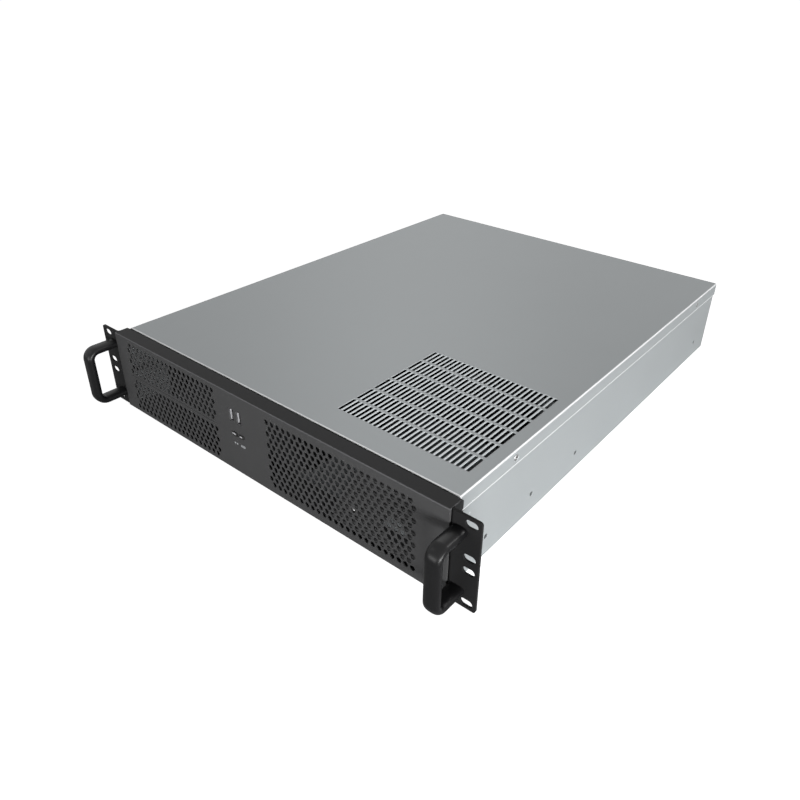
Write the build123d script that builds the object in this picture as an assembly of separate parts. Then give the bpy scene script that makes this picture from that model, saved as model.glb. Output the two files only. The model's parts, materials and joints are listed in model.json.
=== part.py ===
from build123d import *
import math
import os

# An empty two-unit rackmount server case: a folded steel chassis with a screwed top cover, a perforated
# black front bezel between two rack ears with handles, and the brackets and fans that it is sold with.
# Frame: the origin is the middle of the rack slots' pattern, on the front plane of the ears.
# +X is to the right seen from the front, +Y runs back into the rack, +Z is up. Millimetres.

# Rack standard
PANEL_W = 482.6          # width over both ears
PANEL_H = 88.1           # height of a two-unit panel
SLOT_INSET = 8.75        # a slot's middle from the panel's edge
SLOT_OUTER_Z = 38.1      # outer slots, above and below the middle
SLOT_INNER_Z = 6.35      # inner slots, above and below the middle
SLOT_L = 11.4            # end to end
SLOT_W = 6.8

# Case
SHEET = 1.0              # steel of the chassis, cover and bezel
BEND = 0.6               # inside radius of a bend that shows
EAR_REACH = 28.8         # how far the panel reaches past the cover's sides
CASE_D = 554.0           # from the ears' front plane to the cover's rear face
FIT = 0.2                # side gap between nested sheets
SEAT = 0.1               # gap where one sheet only rests against another
PAST = 1.0               # how far a cut runs past the face that it opens

# Cover
COVER_FRONT_Y = 14.5
COVER_LIP = 14.0         # height of its side flanges
COVER_REAR_LIP = 12.0
COVER_CUT = 1.6          # relief cut at each rear corner
COVER_TAIL = 6.4         # depth of the rear bend between the relief cuts
VENT_Y = 109.7           # middle of the slotted field over the power supply bay
VENT_COLUMNS = 28
VENT_ROWS = 6
VENT_PITCH_X = 5.03
VENT_PITCH_Y = 23.5
VENT_SLOT_W = 2.5
VENT_SLOT_L = 20.0

# Bezel
BEZEL_OVER = 2.3         # how far it stands out past the cover's sides
BEZEL_Y = -2.0           # front face
BEZEL_STRIP_Y = 12.6     # rear edge of its top and bottom strips
HOLE_PITCH = 14.0        # perforation at twice the real pitch, with the same open share
HOLE_SIZE = 9.6          # across the flats of a hole
HOLE_STAGGER = math.sqrt(3) / 2      # row pitch as a share of the pitch in a row
FIELD_RIGHT_INSET = 112.9    # middle of the right field from the cover's side
FIELD_RIGHT_COLUMNS = 12
FIELD_RIGHT_ROWS = 6
FIELD_LEFT_INSET = 86.5  # middle of the left field, which has two bands
FIELD_LEFT_COLUMNS = 10
BAND_ROWS = 3
BAND_Z = 21.2            # middle of each band, above and below the pressed bead
BEAD_H = 1.6             # height of the bead between the two bands
BEAD_PROUD = 0.6

# Ears and handles
EAR_SHEET = 2.2
EAR_FLANGE_D = 18.5      # how far the ear's flange runs back along the chassis
EAR_CORNER = 2.5
EAR_CHAMFER = 4.5
HANDLE_INSET = 18.3      # middle of the grip from the panel's edge
HANDLE_H = 64.5          # over both legs
HANDLE_REACH = 34.6      # ear to the front of the grip
HANDLE_W = 13.0
HANDLE_T = 6.8
HANDLE_BEND = 8.2        # bend radius on the bar's middle line
HANDLE_EDGE = 2.2        # bevel along the bar
HANDLE_SCREW_D = 4.0
HANDLE_SCREW_HEAD = 7.0
HANDLE_SCREW_HEAD_H = 2.4
HANDLE_SCREW_GRIP = 8.0  # length inside the handle
HANDLE_BORE_L = 10.2

# Front sub-frame, behind the bezel
FRAME_SIDE_Y = 14.2      # rear edge of its side returns
FRAME_TOP_Y = 30.0       # rear edge of its top and bottom returns
FRAME_WINDOW_H = 76.0
FRAME_WINDOW_INSET = 8.5     # outer edge of the left window from the cover's side
FRAME_LEFT_END = -52.0   # inner edge of the left window
FRAME_RIGHT_START = 8.0  # inner edge of the right window
FRAME_SLANT_LOW = 127.5  # lower end of its slanted outer edge from the cover's side
FRAME_SLANT_HIGH = 83.5  # upper end of that edge
LEAD_HOLE_INSET = 52.5   # round hole for leads in the closed part of the plate
LEAD_HOLE_Z = -12.0
LEAD_HOLE_D = 26.0

# Chassis pan
PAN_LIP = 12.0           # inward flange that carries the cover
RAIL_HOLE_D = 4.0        # threaded holes for slide rails, twelve-sided
RAIL_HOLE_Z = -23.0
RAIL_HOLE_FRONT = (56.0, 127.0, 208.0)
RAIL_HOLE_REAR = 38.0    # rear one from the cover's rear face

# Front panel controls
USB_X = (-31.7, -21.6)
USB_Z = 20.1
USB_SHELL_W = 5.8        # across, the sockets stand upright
USB_SHELL_H = 13.2
USB_WALL = 0.4
USB_TONGUE_T = 1.8
USB_TONGUE_GAP = 0.4     # beside the tongue
USB_TONGUE_SHORT = 0.6   # from the tongue's ends to the shell
USB_TONGUE_BACK = 1.0    # behind the bezel's face
USB_BASE = 2.0           # depth of the closed foot on the board
USB_PROUD = 0.3
BUTTON_X = (-29.0, -19.4)
BUTTON_Z = 0.8
BUTTON_W = 6.6
BUTTON_H = 3.6
BUTTON_GAP = 0.15
BUTTON_PROUD = 1.2
BUTTON_TRAVEL = 1.2
BUTTON_COLLAR = 1.2      # how far the collar behind the bezel stands out
BUTTON_COLLAR_T = 1.0
BUTTON_COLLAR_GAP = 0.3  # behind the bezel
BUTTON_STEM = 2.6
LENS_Z = -9.8
LENS_W = 6.0
LENS_H = 2.6
BOARD_Y = 14.0           # front face of the circuit board
BOARD_T = 1.6
BOARD_W = 30.0
BOARD_X = -25.5
BOARD_H = 62.0
BOARD_POST_D = 5.0
SWITCH_SIZE = 5.0

# Power supply bay
SUPPLY_INSET = 81.8      # middle of the bay from the cover's side
SUPPLY_W = 150.0
SUPPLY_Y = 38.0
SUPPLY_D = 150.0
SUPPLY_SCREW_EDGE = 6.0  # screws from the bracket's side edges
SUPPLY_SCREW_Z = 64.0
SUPPLY_SCREW_D = 3.8
SUPPLY_WINDOW_EDGE = 12.0    # window from the bracket's side edges
SUPPLY_WINDOW_H = 70.0
SUPPLY_FOOT = 14.0

# Drive cages
DRIVE_W = 101.6
DRIVE_L = 147.0
DRIVE_PLAY = 0.5
CAGE_INSET = 66.5        # middle of the left cage from the cover's side
CAGE_PITCH = 112.0       # from one cage to the next
CAGE_Y = 40.0
CAGE_H = 84.0
CAGE_FOOT = 2.6
CAGE_LEVELS = (16.0, 42.5, 69.0)
CAGE_SLOT_Y = (32.0, 115.0)
CAGE_SLOT_L = 14.0
CAGE_SLOT_W = 4.0

# Fan wall
FAN_SIZE = 80.0
FAN_DEPTH = 25.0
FAN_BORE = 76.0
FAN_PITCH = 71.5         # between its screw holes
FAN_STEP = 105.0         # from one fan to the next
FAN_LIFT = 1.5           # underside of the fans above the floor
FAN_WALL_Y = 240.0       # front face of the wall
FAN_WALL_H = 82.0
FAN_WALL_FOOT = 12.0
FAN_WALL_SIDE = 14.0     # depth of its side flanges
FAN_WALL_SIDE_CUT = 3.0  # from its foot and its top to the side flanges
FAN_HUB_D = 32.0
FAN_TIP_GAP = 1.2        # blade tips to the round opening
FAN_BLADES = 7
FAN_BLADE_W = 17.0
FAN_BLADE_T = 1.4
FAN_BLADE_ANGLE = 38.0
FAN_BACK = 4.0           # depth of the motor plate and its spokes
FAN_SPOKE_W = 4.0
FAN_SPOKE_ROOT = 1.0     # how far a spoke runs into the frame
FAN_AXIAL_GAP = 0.6
FAN_FRONT_GAP = 2.0      # the hub's front stays this far inside the frame
SHAFT_D = 3.0
SHAFT_CLEAR = 0.05
FAN_SCREW_D = 4.0
FAN_SCREW_HEAD = 7.0
FAN_SCREW_L = 9.0
ROUND_SIDES = 24         # of the fans' openings
SMALL_SIDES = 12         # of hubs, shafts and small holes
CABLE_WINDOW_INSET = 12.5    # outer edge from the cover's side
CABLE_WINDOW_W = 30.0
CABLE_WINDOW_H = 56.0

# Rear panel
REAR_RETURN = 12.0
REAR_FOOT = 8.0
IO_W = 158.75            # connector window of the mainboard
IO_H = 44.45
IO_X = 0.5               # its edge nearest to the expansion slots
IO_ABOVE_BOARD = -2.2    # its lower edge, from the board's top face
EXPANSION_COUNT = 7
EXPANSION_PITCH = 20.32
EXPANSION_FIRST_X = -17.5
EXPANSION_OPEN_W = 13.0
EXPANSION_OPEN_H = 62.0
EXPANSION_OPEN_Z = -4.0
COVER_PLATE_W = 18.4
COVER_PLATE_T = 0.9
COVER_PLATE_LOW = 2.4    # above the floor
LEDGE_Z = 37.5
LEDGE_D = 11.0
LEDGE_LIP = 7.0
LEDGE_END = 15.24        # from the middle of the outermost slot covers
LEDGE_LUG_W = 4.0
LEDGE_LUG_D = 2.0
REAR_VENT_INSET = 25.0   # middle of the slotted field from the cover's side
REAR_VENT_COLUMNS = 5
REAR_VENT_PITCH = 6.0
REAR_VENT_SLOT_W = 3.0
REAR_VENT_SLOT_H = 60.0
INLET_INSET = 18.5       # from the cover's side
INLET_Z = 8.0
INLET_BODY_W = 20.0
INLET_BODY_H = 27.0
INLET_RIM = 2.4          # how far the flange overlaps the wall
INLET_FLANGE_T = 2.4
INLET_DEPTH = 22.0
INLET_WALL = 1.8
INLET_FLOOR = 4.0
INLET_CATCH = 0.9        # how far the two catches stand out inside the wall
INLET_CATCH_L = 3.6
INLET_PIN_W = 2.0
INLET_PIN_H = 4.0
INLET_PIN_L = 14.0
INLET_PIN_SPREAD = 7.0   # of the outer blades, up and down
INLET_PIN_OFFSET = 3.0   # of the middle blade from the outer two, halved

# Mainboard posts
POST_D = 6.0             # across the flats
POST_H = 6.5
POST_BORE_D = 3.0
POST_BORE_H = 5.0
BOARD_THICK = 1.6        # of the mainboard that is fitted later
POST_X = (-140.0, -15.54, 141.94)
POST_REAR = 11.5         # rear row, from the rear wall's inner face
POST_ROWS = (0.0, 154.94, 227.33)

# Screws
SCREW_SIDES = 6          # of screws, their holes, posts and the perforation
SCREW_HEAD_H = 1.6
COVER_SCREW_D = 3.0
COVER_SCREW_HEAD = 6.0
COVER_SCREW_HEAD_H = 0.6
COVER_SCREW_FRONT = 91.0     # front side screws from the ears' front plane
COVER_SCREW_REAR = 63.0      # rear side screws from the cover's rear face
COVER_SCREW_BELOW = 7.6  # under the cover's top face
REAR_SCREW_INSET = 42.5  # outer rear screws from the cover's sides
REAR_SCREW_MIDDLE = 10.0
REAR_SCREW_BELOW = 6.5
EAR_SCREW_HEAD = 5.6
EAR_SCREW_HEAD_H = 1.0
EAR_SCREW_Y = 8.6
EAR_SCREW_Z = (-27.0, 27.0)
SCREW_GAP = 0.15
SCREW_L = 5.0
SCREW_HOLE_REACH = 4.0   # of a clearance hole's cut, to both sides

# Worked out from the sizes above
TOP = PANEL_H / 2
BOTTOM = -PANEL_H / 2
FLOOR = BOTTOM + SHEET
CEILING = TOP - SHEET
BODY_X = PANEL_W / 2 - EAR_REACH
PAN_X = BODY_X - SHEET - FIT
INNER_X = PAN_X - SHEET
NEST_X = INNER_X - BEND  # half width of what stands on the floor between the walls
FRAME_Y = EAR_SHEET
FRAME_BACK = FRAME_Y + SHEET
FRAME_X = PAN_X + SEAT + SHEET
PAN_Y = FRAME_BACK + SEAT
REAR_Y = CASE_D - SHEET - FIT
REAR_FRONT = REAR_Y - SHEET
BEZEL_X = BODY_X + BEZEL_OVER
BEZEL_BACK = BEZEL_Y + SHEET
EAR_X = BODY_X + SEAT
BOARD_TOP = FLOOR + POST_H + BOARD_THICK
FAN_Z = FLOOR + FAN_LIFT + FAN_SIZE / 2
HANDLE_X = PANEL_W / 2 - HANDLE_INSET
HANDLE_LEG_Z = HANDLE_H / 2 - HANDLE_T / 2
SUPPLY_X = BODY_X - SUPPLY_INSET
CAGE_X = (CAGE_INSET - BODY_X, CAGE_INSET - BODY_X + CAGE_PITCH)
REAR_SCREW_X = (REAR_SCREW_INSET - BODY_X, REAR_SCREW_MIDDLE, BODY_X - REAR_SCREW_INSET)
INLET_X = BODY_X - INLET_INSET
FAN_X = (-FAN_STEP, 0.0, FAN_STEP)
COVER_SCREW_Y = (COVER_SCREW_FRONT, CASE_D - COVER_SCREW_REAR)
RAIL_HOLE_Y = (*RAIL_HOLE_FRONT, CASE_D - RAIL_HOLE_REAR)


def brick(x0, x1, y0, y1, z0, z1):
    """A block between two corners."""
    middle = Pos((x0 + x1) / 2, (y0 + y1) / 2, (z0 + z1) / 2)
    return middle * Box(abs(x1 - x0), abs(y1 - y0), abs(z1 - z0))


def run_x(face, x0, x1):
    """Extrudes a face drawn in Y and Z from x0 to x1."""
    return extrude(Plane((x0, 0, 0), x_dir=(0, 1, 0), z_dir=(1, 0, 0)) * face, amount=x1 - x0)


def run_y(face, y0, y1):
    """Extrudes a face drawn in X and Z from y0 to y1."""
    return extrude(Plane((0, y0, 0), x_dir=(1, 0, 0), z_dir=(0, -1, 0)) * face, amount=y0 - y1)


def run_z(face, z0, z1):
    """Extrudes a face drawn in X and Y from z0 to z1."""
    return extrude(Plane.XY.offset(z0) * face, amount=z1 - z0)


def sheet_profile(corners, sheet=SHEET, bend=0.0):
    """The section of a folded sheet whose outer corners are given; the metal lies to their left."""
    path = [Vector(*corner) for corner in corners]
    runs = [(b - a).normalized() for a, b in zip(path, path[1:])]
    left = [Vector(-run.Y, run.X) for run in runs]
    inner = [path[0] + left[0] * sheet]
    for k in range(1, len(runs)):
        inner.append(path[k] + (left[k - 1] + left[k]) * (sheet / (1 + left[k - 1].dot(left[k]))))
    inner.append(path[-1] + left[-1] * sheet)
    face = make_face(Polyline(*path, *reversed(inner), close=True))
    if bend > 0:
        for spots, radius in bend_spots(path, inner, runs, sheet, bend):
            face = fillet([v for v in face.vertices() if is_at(v, spots)], radius)
    return face


def bend_spots(path, inner, runs, sheet, bend):
    """The inside and the outside corner of each bend, with their radii."""
    inside, outside = [], []
    for k in range(1, len(runs)):
        turns_left = runs[k - 1].cross(runs[k]).Z > 0
        inside.append(inner[k] if turns_left else path[k])
        outside.append(path[k] if turns_left else inner[k])
    return (inside, bend), (outside, bend + sheet)


def is_at(vertex, spots):
    """Whether a vertex lies at one of the spots."""
    return min((Vector(*vertex) - spot).length for spot in spots) < 1e-4


def bolt(diameter, head, length, head_height=SCREW_HEAD_H):
    """A screw along +Z with few sides: its head's underside is at zero and its head points to -Z."""
    shank = extrude(RegularPolygon(diameter / 2, SCREW_SIDES), amount=length)
    cap = extrude(RegularPolygon(head / 2, SCREW_SIDES), amount=-head_height)
    return shank + cap


def bolt_hole(diameter):
    """The clearance hole of such a screw, along Z and to both sides of its place."""
    outline = RegularPolygon(diameter / 2 + SCREW_GAP, SCREW_SIDES)
    return Pos(0, 0, -SCREW_HOLE_REACH) * extrude(outline, amount=2 * SCREW_HOLE_REACH)


def build_chassis_pan():
    """Floor and side walls folded from one sheet, with inward lips under the cover."""
    lip_x = PAN_X - PAN_LIP
    over_x = PAN_X + PAST
    profile = sheet_profile([(-lip_x, CEILING), (-PAN_X, CEILING), (-PAN_X, BOTTOM), (PAN_X, BOTTOM),
                             (PAN_X, CEILING), (lip_x, CEILING)], SHEET, BEND)
    pan = run_y(profile, PAN_Y, REAR_Y)
    # the lips stop behind the front frame and before the cover's rear bend,
    # and the floor stops behind the bezel's lower strip
    pan -= brick(-INNER_X, INNER_X, PAN_Y - PAST, FRAME_TOP_Y + SEAT, CEILING - 2 * SHEET, CEILING + PAST)
    pan -= brick(-over_x, over_x, PAN_Y - PAST, BEZEL_STRIP_Y + SEAT, BOTTOM - PAST, FLOOR + BEND)
    pan -= brick(-over_x, over_x, REAR_Y - SHEET, REAR_Y + PAST, CEILING - SHEET - BEND, CEILING + PAST)
    rail_holes = [Pos(y, RAIL_HOLE_Z) * RegularPolygon(RAIL_HOLE_D / 2, SMALL_SIDES) for y in RAIL_HOLE_Y]
    pan -= run_x(Sketch() + rail_holes, -BODY_X, BODY_X)
    places = [(y, TOP - COVER_SCREW_BELOW) for y in COVER_SCREW_Y] + [(EAR_SCREW_Y, z) for z in EAR_SCREW_Z]
    for side in (-1, 1):
        for y, z in places:
            pan -= Pos(side * PAN_X, y, z) * Rot(0, 90, 0) * bolt_hole(COVER_SCREW_D)
    return pan


def build_front_frame():
    """Galvanised sub-frame behind the bezel: a plate with two windows, and returns on all four sides."""
    plate = run_y(Rectangle(2 * FRAME_X, 2 * CEILING), FRAME_Y, FRAME_BACK)
    plate -= run_y(Sketch() + frame_windows(), FRAME_Y - PAST, FRAME_BACK + PAST)
    for side in (-1, 1):
        plate += brick(side * FRAME_X, side * (FRAME_X - SHEET), FRAME_Y, FRAME_SIDE_Y, -CEILING, CEILING)
        plate += brick(-NEST_X, NEST_X, FRAME_Y, FRAME_TOP_Y, side * CEILING, side * (CEILING - SHEET))
        for z in EAR_SCREW_Z:
            plate -= Pos(side * FRAME_X, EAR_SCREW_Y, z) * Rot(0, 90, 0) * bolt_hole(COVER_SCREW_D)
    return plate


def frame_windows():
    """The outlines of the front plate's windows, its lead hole and the openings behind the controls."""
    high = FRAME_WINDOW_H / 2
    left_start = FRAME_WINDOW_INSET - BODY_X
    left_window = Rectangle(FRAME_LEFT_END - left_start, FRAME_WINDOW_H)
    cuts = [Pos((left_start + FRAME_LEFT_END) / 2, 0) * left_window]
    cuts.append(Polygon((FRAME_RIGHT_START, -high), (BODY_X - FRAME_SLANT_LOW, -high),
                        (BODY_X - FRAME_SLANT_HIGH, high), (FRAME_RIGHT_START, high), align=None))
    cuts.append(Pos(BODY_X - LEAD_HOLE_INSET, LEAD_HOLE_Z) * RegularPolygon(LEAD_HOLE_D / 2, ROUND_SIDES))
    gap = 2 * FIT
    cuts += [Pos(x, USB_Z) * Rectangle(USB_SHELL_W + 2 * gap, USB_SHELL_H + 2 * gap) for x in USB_X]
    low = LENS_Z - LENS_H / 2 - gap
    top = BUTTON_Z + BUTTON_H / 2 + BUTTON_COLLAR + gap
    width = BUTTON_X[1] - BUTTON_X[0] + BUTTON_W + 2 * (BUTTON_COLLAR + gap)
    cuts.append(Pos(sum(BUTTON_X) / 2, (low + top) / 2) * Rectangle(width, top - low))
    return cuts


def hole_field(columns, rows, first_shift):
    """Staggered rows of six-sided holes round the origin; first_shift is the top row's side step."""
    row_pitch = HOLE_PITCH * HOLE_STAGGER
    hole = RegularPolygon(HOLE_SIZE / 2, SCREW_SIDES, major_radius=False, rotation=30)
    spots = []
    for row in range(rows):
        shift = first_shift * HOLE_PITCH / 4 * (1 if row % 2 == 0 else -1)
        for column in range(columns):
            x = (column - (columns - 1) / 2) * HOLE_PITCH + shift
            spots.append(Pos(x, ((rows - 1) / 2 - row) * row_pitch) * hole)
    return spots


def build_front_bezel():
    """Black formed face: a perforated plate with strips folded back above and below, and short side edges."""
    profile = sheet_profile([(BEZEL_STRIP_Y, TOP), (BEZEL_Y, TOP), (BEZEL_Y, BOTTOM),
                             (BEZEL_STRIP_Y, BOTTOM)], SHEET, BEND)
    bezel = run_x(profile, -BEZEL_X, BEZEL_X)
    for side in (-1, 1):
        bezel += brick(side * BEZEL_X, side * (BEZEL_X - SHEET), BEZEL_BACK - SHEET / 2, -SEAT,
                       BEND - CEILING, CEILING - BEND)
    bead_x = HOLE_PITCH * FIELD_LEFT_COLUMNS / 2
    left_x, right_x = FIELD_LEFT_INSET - BODY_X, BODY_X - FIELD_RIGHT_INSET
    bezel += brick(left_x - bead_x, left_x + bead_x, BEZEL_Y - BEAD_PROUD, BEZEL_BACK,
                   -BEAD_H / 2, BEAD_H / 2)
    fields = [Pos(right_x, 0) * spot for spot in hole_field(FIELD_RIGHT_COLUMNS, FIELD_RIGHT_ROWS, -1)]
    for z in (-BAND_Z, BAND_Z):
        fields += [Pos(left_x, z) * spot for spot in hole_field(FIELD_LEFT_COLUMNS, BAND_ROWS, 1)]
    for x in USB_X:
        fields.append(Pos(x, USB_Z) * Rectangle(USB_SHELL_W + FIT, USB_SHELL_H + FIT))
    for x in BUTTON_X:
        fields.append(Pos(x, BUTTON_Z) * Rectangle(BUTTON_W + 2 * BUTTON_GAP, BUTTON_H + 2 * BUTTON_GAP))
        fields.append(Pos(x, LENS_Z) * Rectangle(LENS_W + FIT, LENS_H + FIT))
    return bezel - run_y(Sketch() + fields, BEZEL_Y - PAST, BEZEL_BACK + SEAT)


def build_ear(side):
    """Rack ear: a slotted plate with a flange that runs back along the chassis side."""
    outer = PANEL_W / 2
    plate = brick(EAR_X, outer, 0, EAR_SHEET, BOTTOM, TOP)
    corners = [edge for edge in plate.edges().filter_by(Axis.Y) if edge.center().X > outer - SEAT]
    plate = fillet(corners, EAR_CORNER)
    flange = run_x(Polygon((0, -CEILING), (EAR_FLANGE_D, -CEILING), (EAR_FLANGE_D, CEILING - EAR_CHAMFER),
                           (EAR_FLANGE_D - EAR_CHAMFER, CEILING), (0, CEILING), align=None), EAR_X, BEZEL_X)
    for low, high in ((BOTTOM - PAST, -CEILING + SEAT), (CEILING - SEAT, TOP + PAST)):
        plate -= brick(EAR_X - PAST, BEZEL_X + SEAT, -PAST, EAR_SHEET + PAST, low, high)
    ear = plate + flange
    slots = [Pos(outer - SLOT_INSET, z) * SlotOverall(SLOT_L, SLOT_W)
             for z in (-SLOT_OUTER_Z, -SLOT_INNER_Z, SLOT_INNER_Z, SLOT_OUTER_Z)]
    ear -= run_y(Sketch() + slots, -PAST, EAR_SHEET + PAST)
    for z in (-HANDLE_LEG_Z, HANDLE_LEG_Z):
        ear -= Pos(HANDLE_X, EAR_SHEET, z) * Rot(90, 0, 0) * bolt_hole(HANDLE_SCREW_D)
    for z in EAR_SCREW_Z:
        ear -= Pos(EAR_X, EAR_SCREW_Y, z) * Rot(0, 90, 0) * bolt_hole(COVER_SCREW_D)
    return ear if side > 0 else ear.mirror(Plane.YZ)


def build_handle(side):
    """Bent bar with bevelled edges, tapped at both feet for the screws behind the ear."""
    x = side * HANDLE_X
    front = -HANDLE_REACH + HANDLE_T / 2
    path = FilletPolyline((x, 0, HANDLE_LEG_Z), (x, front, HANDLE_LEG_Z), (x, front, -HANDLE_LEG_Z),
                          (x, 0, -HANDLE_LEG_Z), radius=HANDLE_BEND)
    section = chamfer(Rectangle(HANDLE_W, HANDLE_T).vertices(), HANDLE_EDGE)
    handle = sweep(Plane((x, 0, HANDLE_LEG_Z), x_dir=(1, 0, 0), z_dir=(0, -1, 0)) * section, path=path)
    bore = extrude(RegularPolygon(HANDLE_SCREW_D / 2 + SCREW_GAP, SCREW_SIDES), amount=HANDLE_BORE_L + PAST)
    for z in (-HANDLE_LEG_Z, HANDLE_LEG_Z):
        handle -= Pos(x, PAST, z) * Rot(90, 0, 0) * bore
    return handle


def build_handle_screws():
    """Four screws through the ears into the handles' feet."""
    screw = bolt(HANDLE_SCREW_D, HANDLE_SCREW_HEAD, EAR_SHEET + HANDLE_SCREW_GRIP, HANDLE_SCREW_HEAD_H)
    return [Pos(side * HANDLE_X, EAR_SHEET, z) * Rot(90, 0, 0) * screw
            for side in (-1, 1) for z in (-HANDLE_LEG_Z, HANDLE_LEG_Z)]


def build_ear_screws():
    """Four screws through the ears' flanges, the front frame and the chassis sides."""
    screw = bolt(COVER_SCREW_D, EAR_SCREW_HEAD, SCREW_L, EAR_SCREW_HEAD_H)
    return [Pos(side * BEZEL_X, EAR_SCREW_Y, z) * Rot(0, -90 * side, 0) * screw
            for side in (-1, 1) for z in EAR_SCREW_Z]


def build_top_cover():
    """Top sheet with lips folded down at the sides and the rear, and the slotted field at the front right."""
    lip = TOP - COVER_LIP
    profile = sheet_profile([(BODY_X, lip), (BODY_X, TOP), (-BODY_X, TOP), (-BODY_X, lip)], SHEET, BEND)
    cover = run_y(profile, COVER_FRONT_Y, CASE_D - COVER_CUT)
    inside = BODY_X - SHEET - BEND
    rear = sheet_profile([(CASE_D, TOP - COVER_REAR_LIP), (CASE_D, TOP), (CASE_D - COVER_TAIL, TOP)],
                         SHEET, BEND)
    cover += run_x(rear, -inside, inside)
    grid = GridLocations(VENT_PITCH_X, VENT_PITCH_Y, VENT_COLUMNS, VENT_ROWS)
    slots = [Pos(SUPPLY_X, VENT_Y) * spot * Rectangle(VENT_SLOT_W, VENT_SLOT_L) for spot in grid]
    cover -= run_z(Sketch() + slots, CEILING - PAST, TOP + PAST)
    screw_z = TOP - COVER_SCREW_BELOW
    for side in (-1, 1):
        for y in COVER_SCREW_Y:
            cover -= Pos(side * BODY_X, y, screw_z) * Rot(0, 90, 0) * bolt_hole(COVER_SCREW_D)
    for x in REAR_SCREW_X:
        cover -= Pos(x, CASE_D, TOP - REAR_SCREW_BELOW) * Rot(90, 0, 0) * bolt_hole(COVER_SCREW_D)
    return cover


def build_cover_screws():
    """Four low screws in the cover's sides and three in its rear lip."""
    screw = bolt(COVER_SCREW_D, COVER_SCREW_HEAD, SCREW_L, COVER_SCREW_HEAD_H)
    screws = [Pos(side * BODY_X, y, TOP - COVER_SCREW_BELOW) * Rot(0, -90 * side, 0) * screw
              for side in (-1, 1) for y in COVER_SCREW_Y]
    return screws + [Pos(x, CASE_D, TOP - REAR_SCREW_BELOW) * Rot(90, 0, 0) * screw for x in REAR_SCREW_X]


def build_rear_panel():
    """Rear wall with the connector window, the expansion openings, a slotted field and the inlet's cut."""
    profile = sheet_profile([(REAR_Y - REAR_FOOT, FLOOR), (REAR_Y, FLOOR), (REAR_Y, CEILING),
                             (REAR_Y - REAR_RETURN, CEILING)], SHEET, BEND)
    panel = run_x(profile, -NEST_X, NEST_X)
    lip_x = PAN_X - PAN_LIP - SEAT
    below_lip = CEILING - SHEET - SEAT
    return_y = REAR_Y - REAR_RETURN
    for side in (-1, 1):
        panel -= brick(side * lip_x, side * BODY_X, return_y - PAST, REAR_Y + PAST, below_lip, TOP)
        panel += brick(side * NEST_X, side * (NEST_X - SHEET), return_y, REAR_FRONT, FLOOR, below_lip)
    panel -= run_y(Sketch() + rear_cuts(), REAR_FRONT - PAST, REAR_Y + PAST)
    for x in REAR_SCREW_X:
        panel -= Pos(x, REAR_Y, TOP - REAR_SCREW_BELOW) * Rot(90, 0, 0) * bolt_hole(COVER_SCREW_D)
    return panel


def rear_cuts():
    """The outlines of the rear wall's openings."""
    cuts = [Pos(IO_X + IO_W / 2, BOARD_TOP + IO_ABOVE_BOARD + IO_H / 2) * Rectangle(IO_W, IO_H)]
    cuts += [Pos(x, EXPANSION_OPEN_Z) * Rectangle(EXPANSION_OPEN_W, EXPANSION_OPEN_H)
             for x in expansion_places()]
    cuts += [Pos(REAR_VENT_INSET - BODY_X, 0) * spot * Rectangle(REAR_VENT_SLOT_W, REAR_VENT_SLOT_H)
             for spot in GridLocations(REAR_VENT_PITCH, REAR_VENT_PITCH, REAR_VENT_COLUMNS, 1)]
    cuts.append(Pos(INLET_X, INLET_Z) * Rectangle(INLET_BODY_W + 2 * FIT, INLET_BODY_H + 2 * FIT))
    return cuts


def expansion_places():
    """The X of each expansion opening, from the connector window outwards."""
    return [EXPANSION_FIRST_X - k * EXPANSION_PITCH for k in range(EXPANSION_COUNT)]


def build_slot_ledge():
    """Ledge inside the rear wall that the slot covers are screwed to, with a lug at each end."""
    places = expansion_places()
    low, high = places[-1] - LEDGE_END, places[0] + LEDGE_END
    back = REAR_FRONT - COVER_PLATE_T - 2 * SEAT
    front = REAR_FRONT - LEDGE_D
    profile = sheet_profile([(front, LEDGE_Z - LEDGE_LIP), (front, LEDGE_Z), (back, LEDGE_Z)][::-1])
    ledge = run_x(profile, low, high)
    for x in (low, high):
        ledge += brick(x - LEDGE_LUG_W / 2, x + LEDGE_LUG_W / 2, back - LEDGE_LUG_D, REAR_FRONT,
                       LEDGE_Z - SHEET, LEDGE_Z)
    for x in places:
        ledge -= Pos(x, (front + back) / 2, LEDGE_Z) * bolt_hole(COVER_SCREW_D)
    return ledge


def build_slot_cover(x):
    """Blanking plate over one expansion opening, with its tab folded in over the ledge."""
    back = REAR_FRONT - SEAT
    front = REAR_FRONT - LEDGE_D
    profile = sheet_profile([(back, FLOOR + COVER_PLATE_LOW), (back, LEDGE_Z + COVER_PLATE_T),
                             (front, LEDGE_Z + COVER_PLATE_T)], COVER_PLATE_T)
    plate = run_x(profile, x - COVER_PLATE_W / 2, x + COVER_PLATE_W / 2)
    hole_y = (front + REAR_FRONT - COVER_PLATE_T - 2 * SEAT) / 2
    return plate - Pos(x, hole_y, LEDGE_Z) * bolt_hole(COVER_SCREW_D)


def build_slot_screws():
    """One screw down through each slot cover's tab."""
    hole_y = (REAR_FRONT - LEDGE_D + REAR_FRONT - COVER_PLATE_T - 2 * SEAT) / 2
    screw = bolt(COVER_SCREW_D, COVER_SCREW_HEAD, SCREW_L)
    return [Pos(x, hole_y, LEDGE_Z + COVER_PLATE_T) * Rot(180, 0, 0) * screw for x in expansion_places()]


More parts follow.
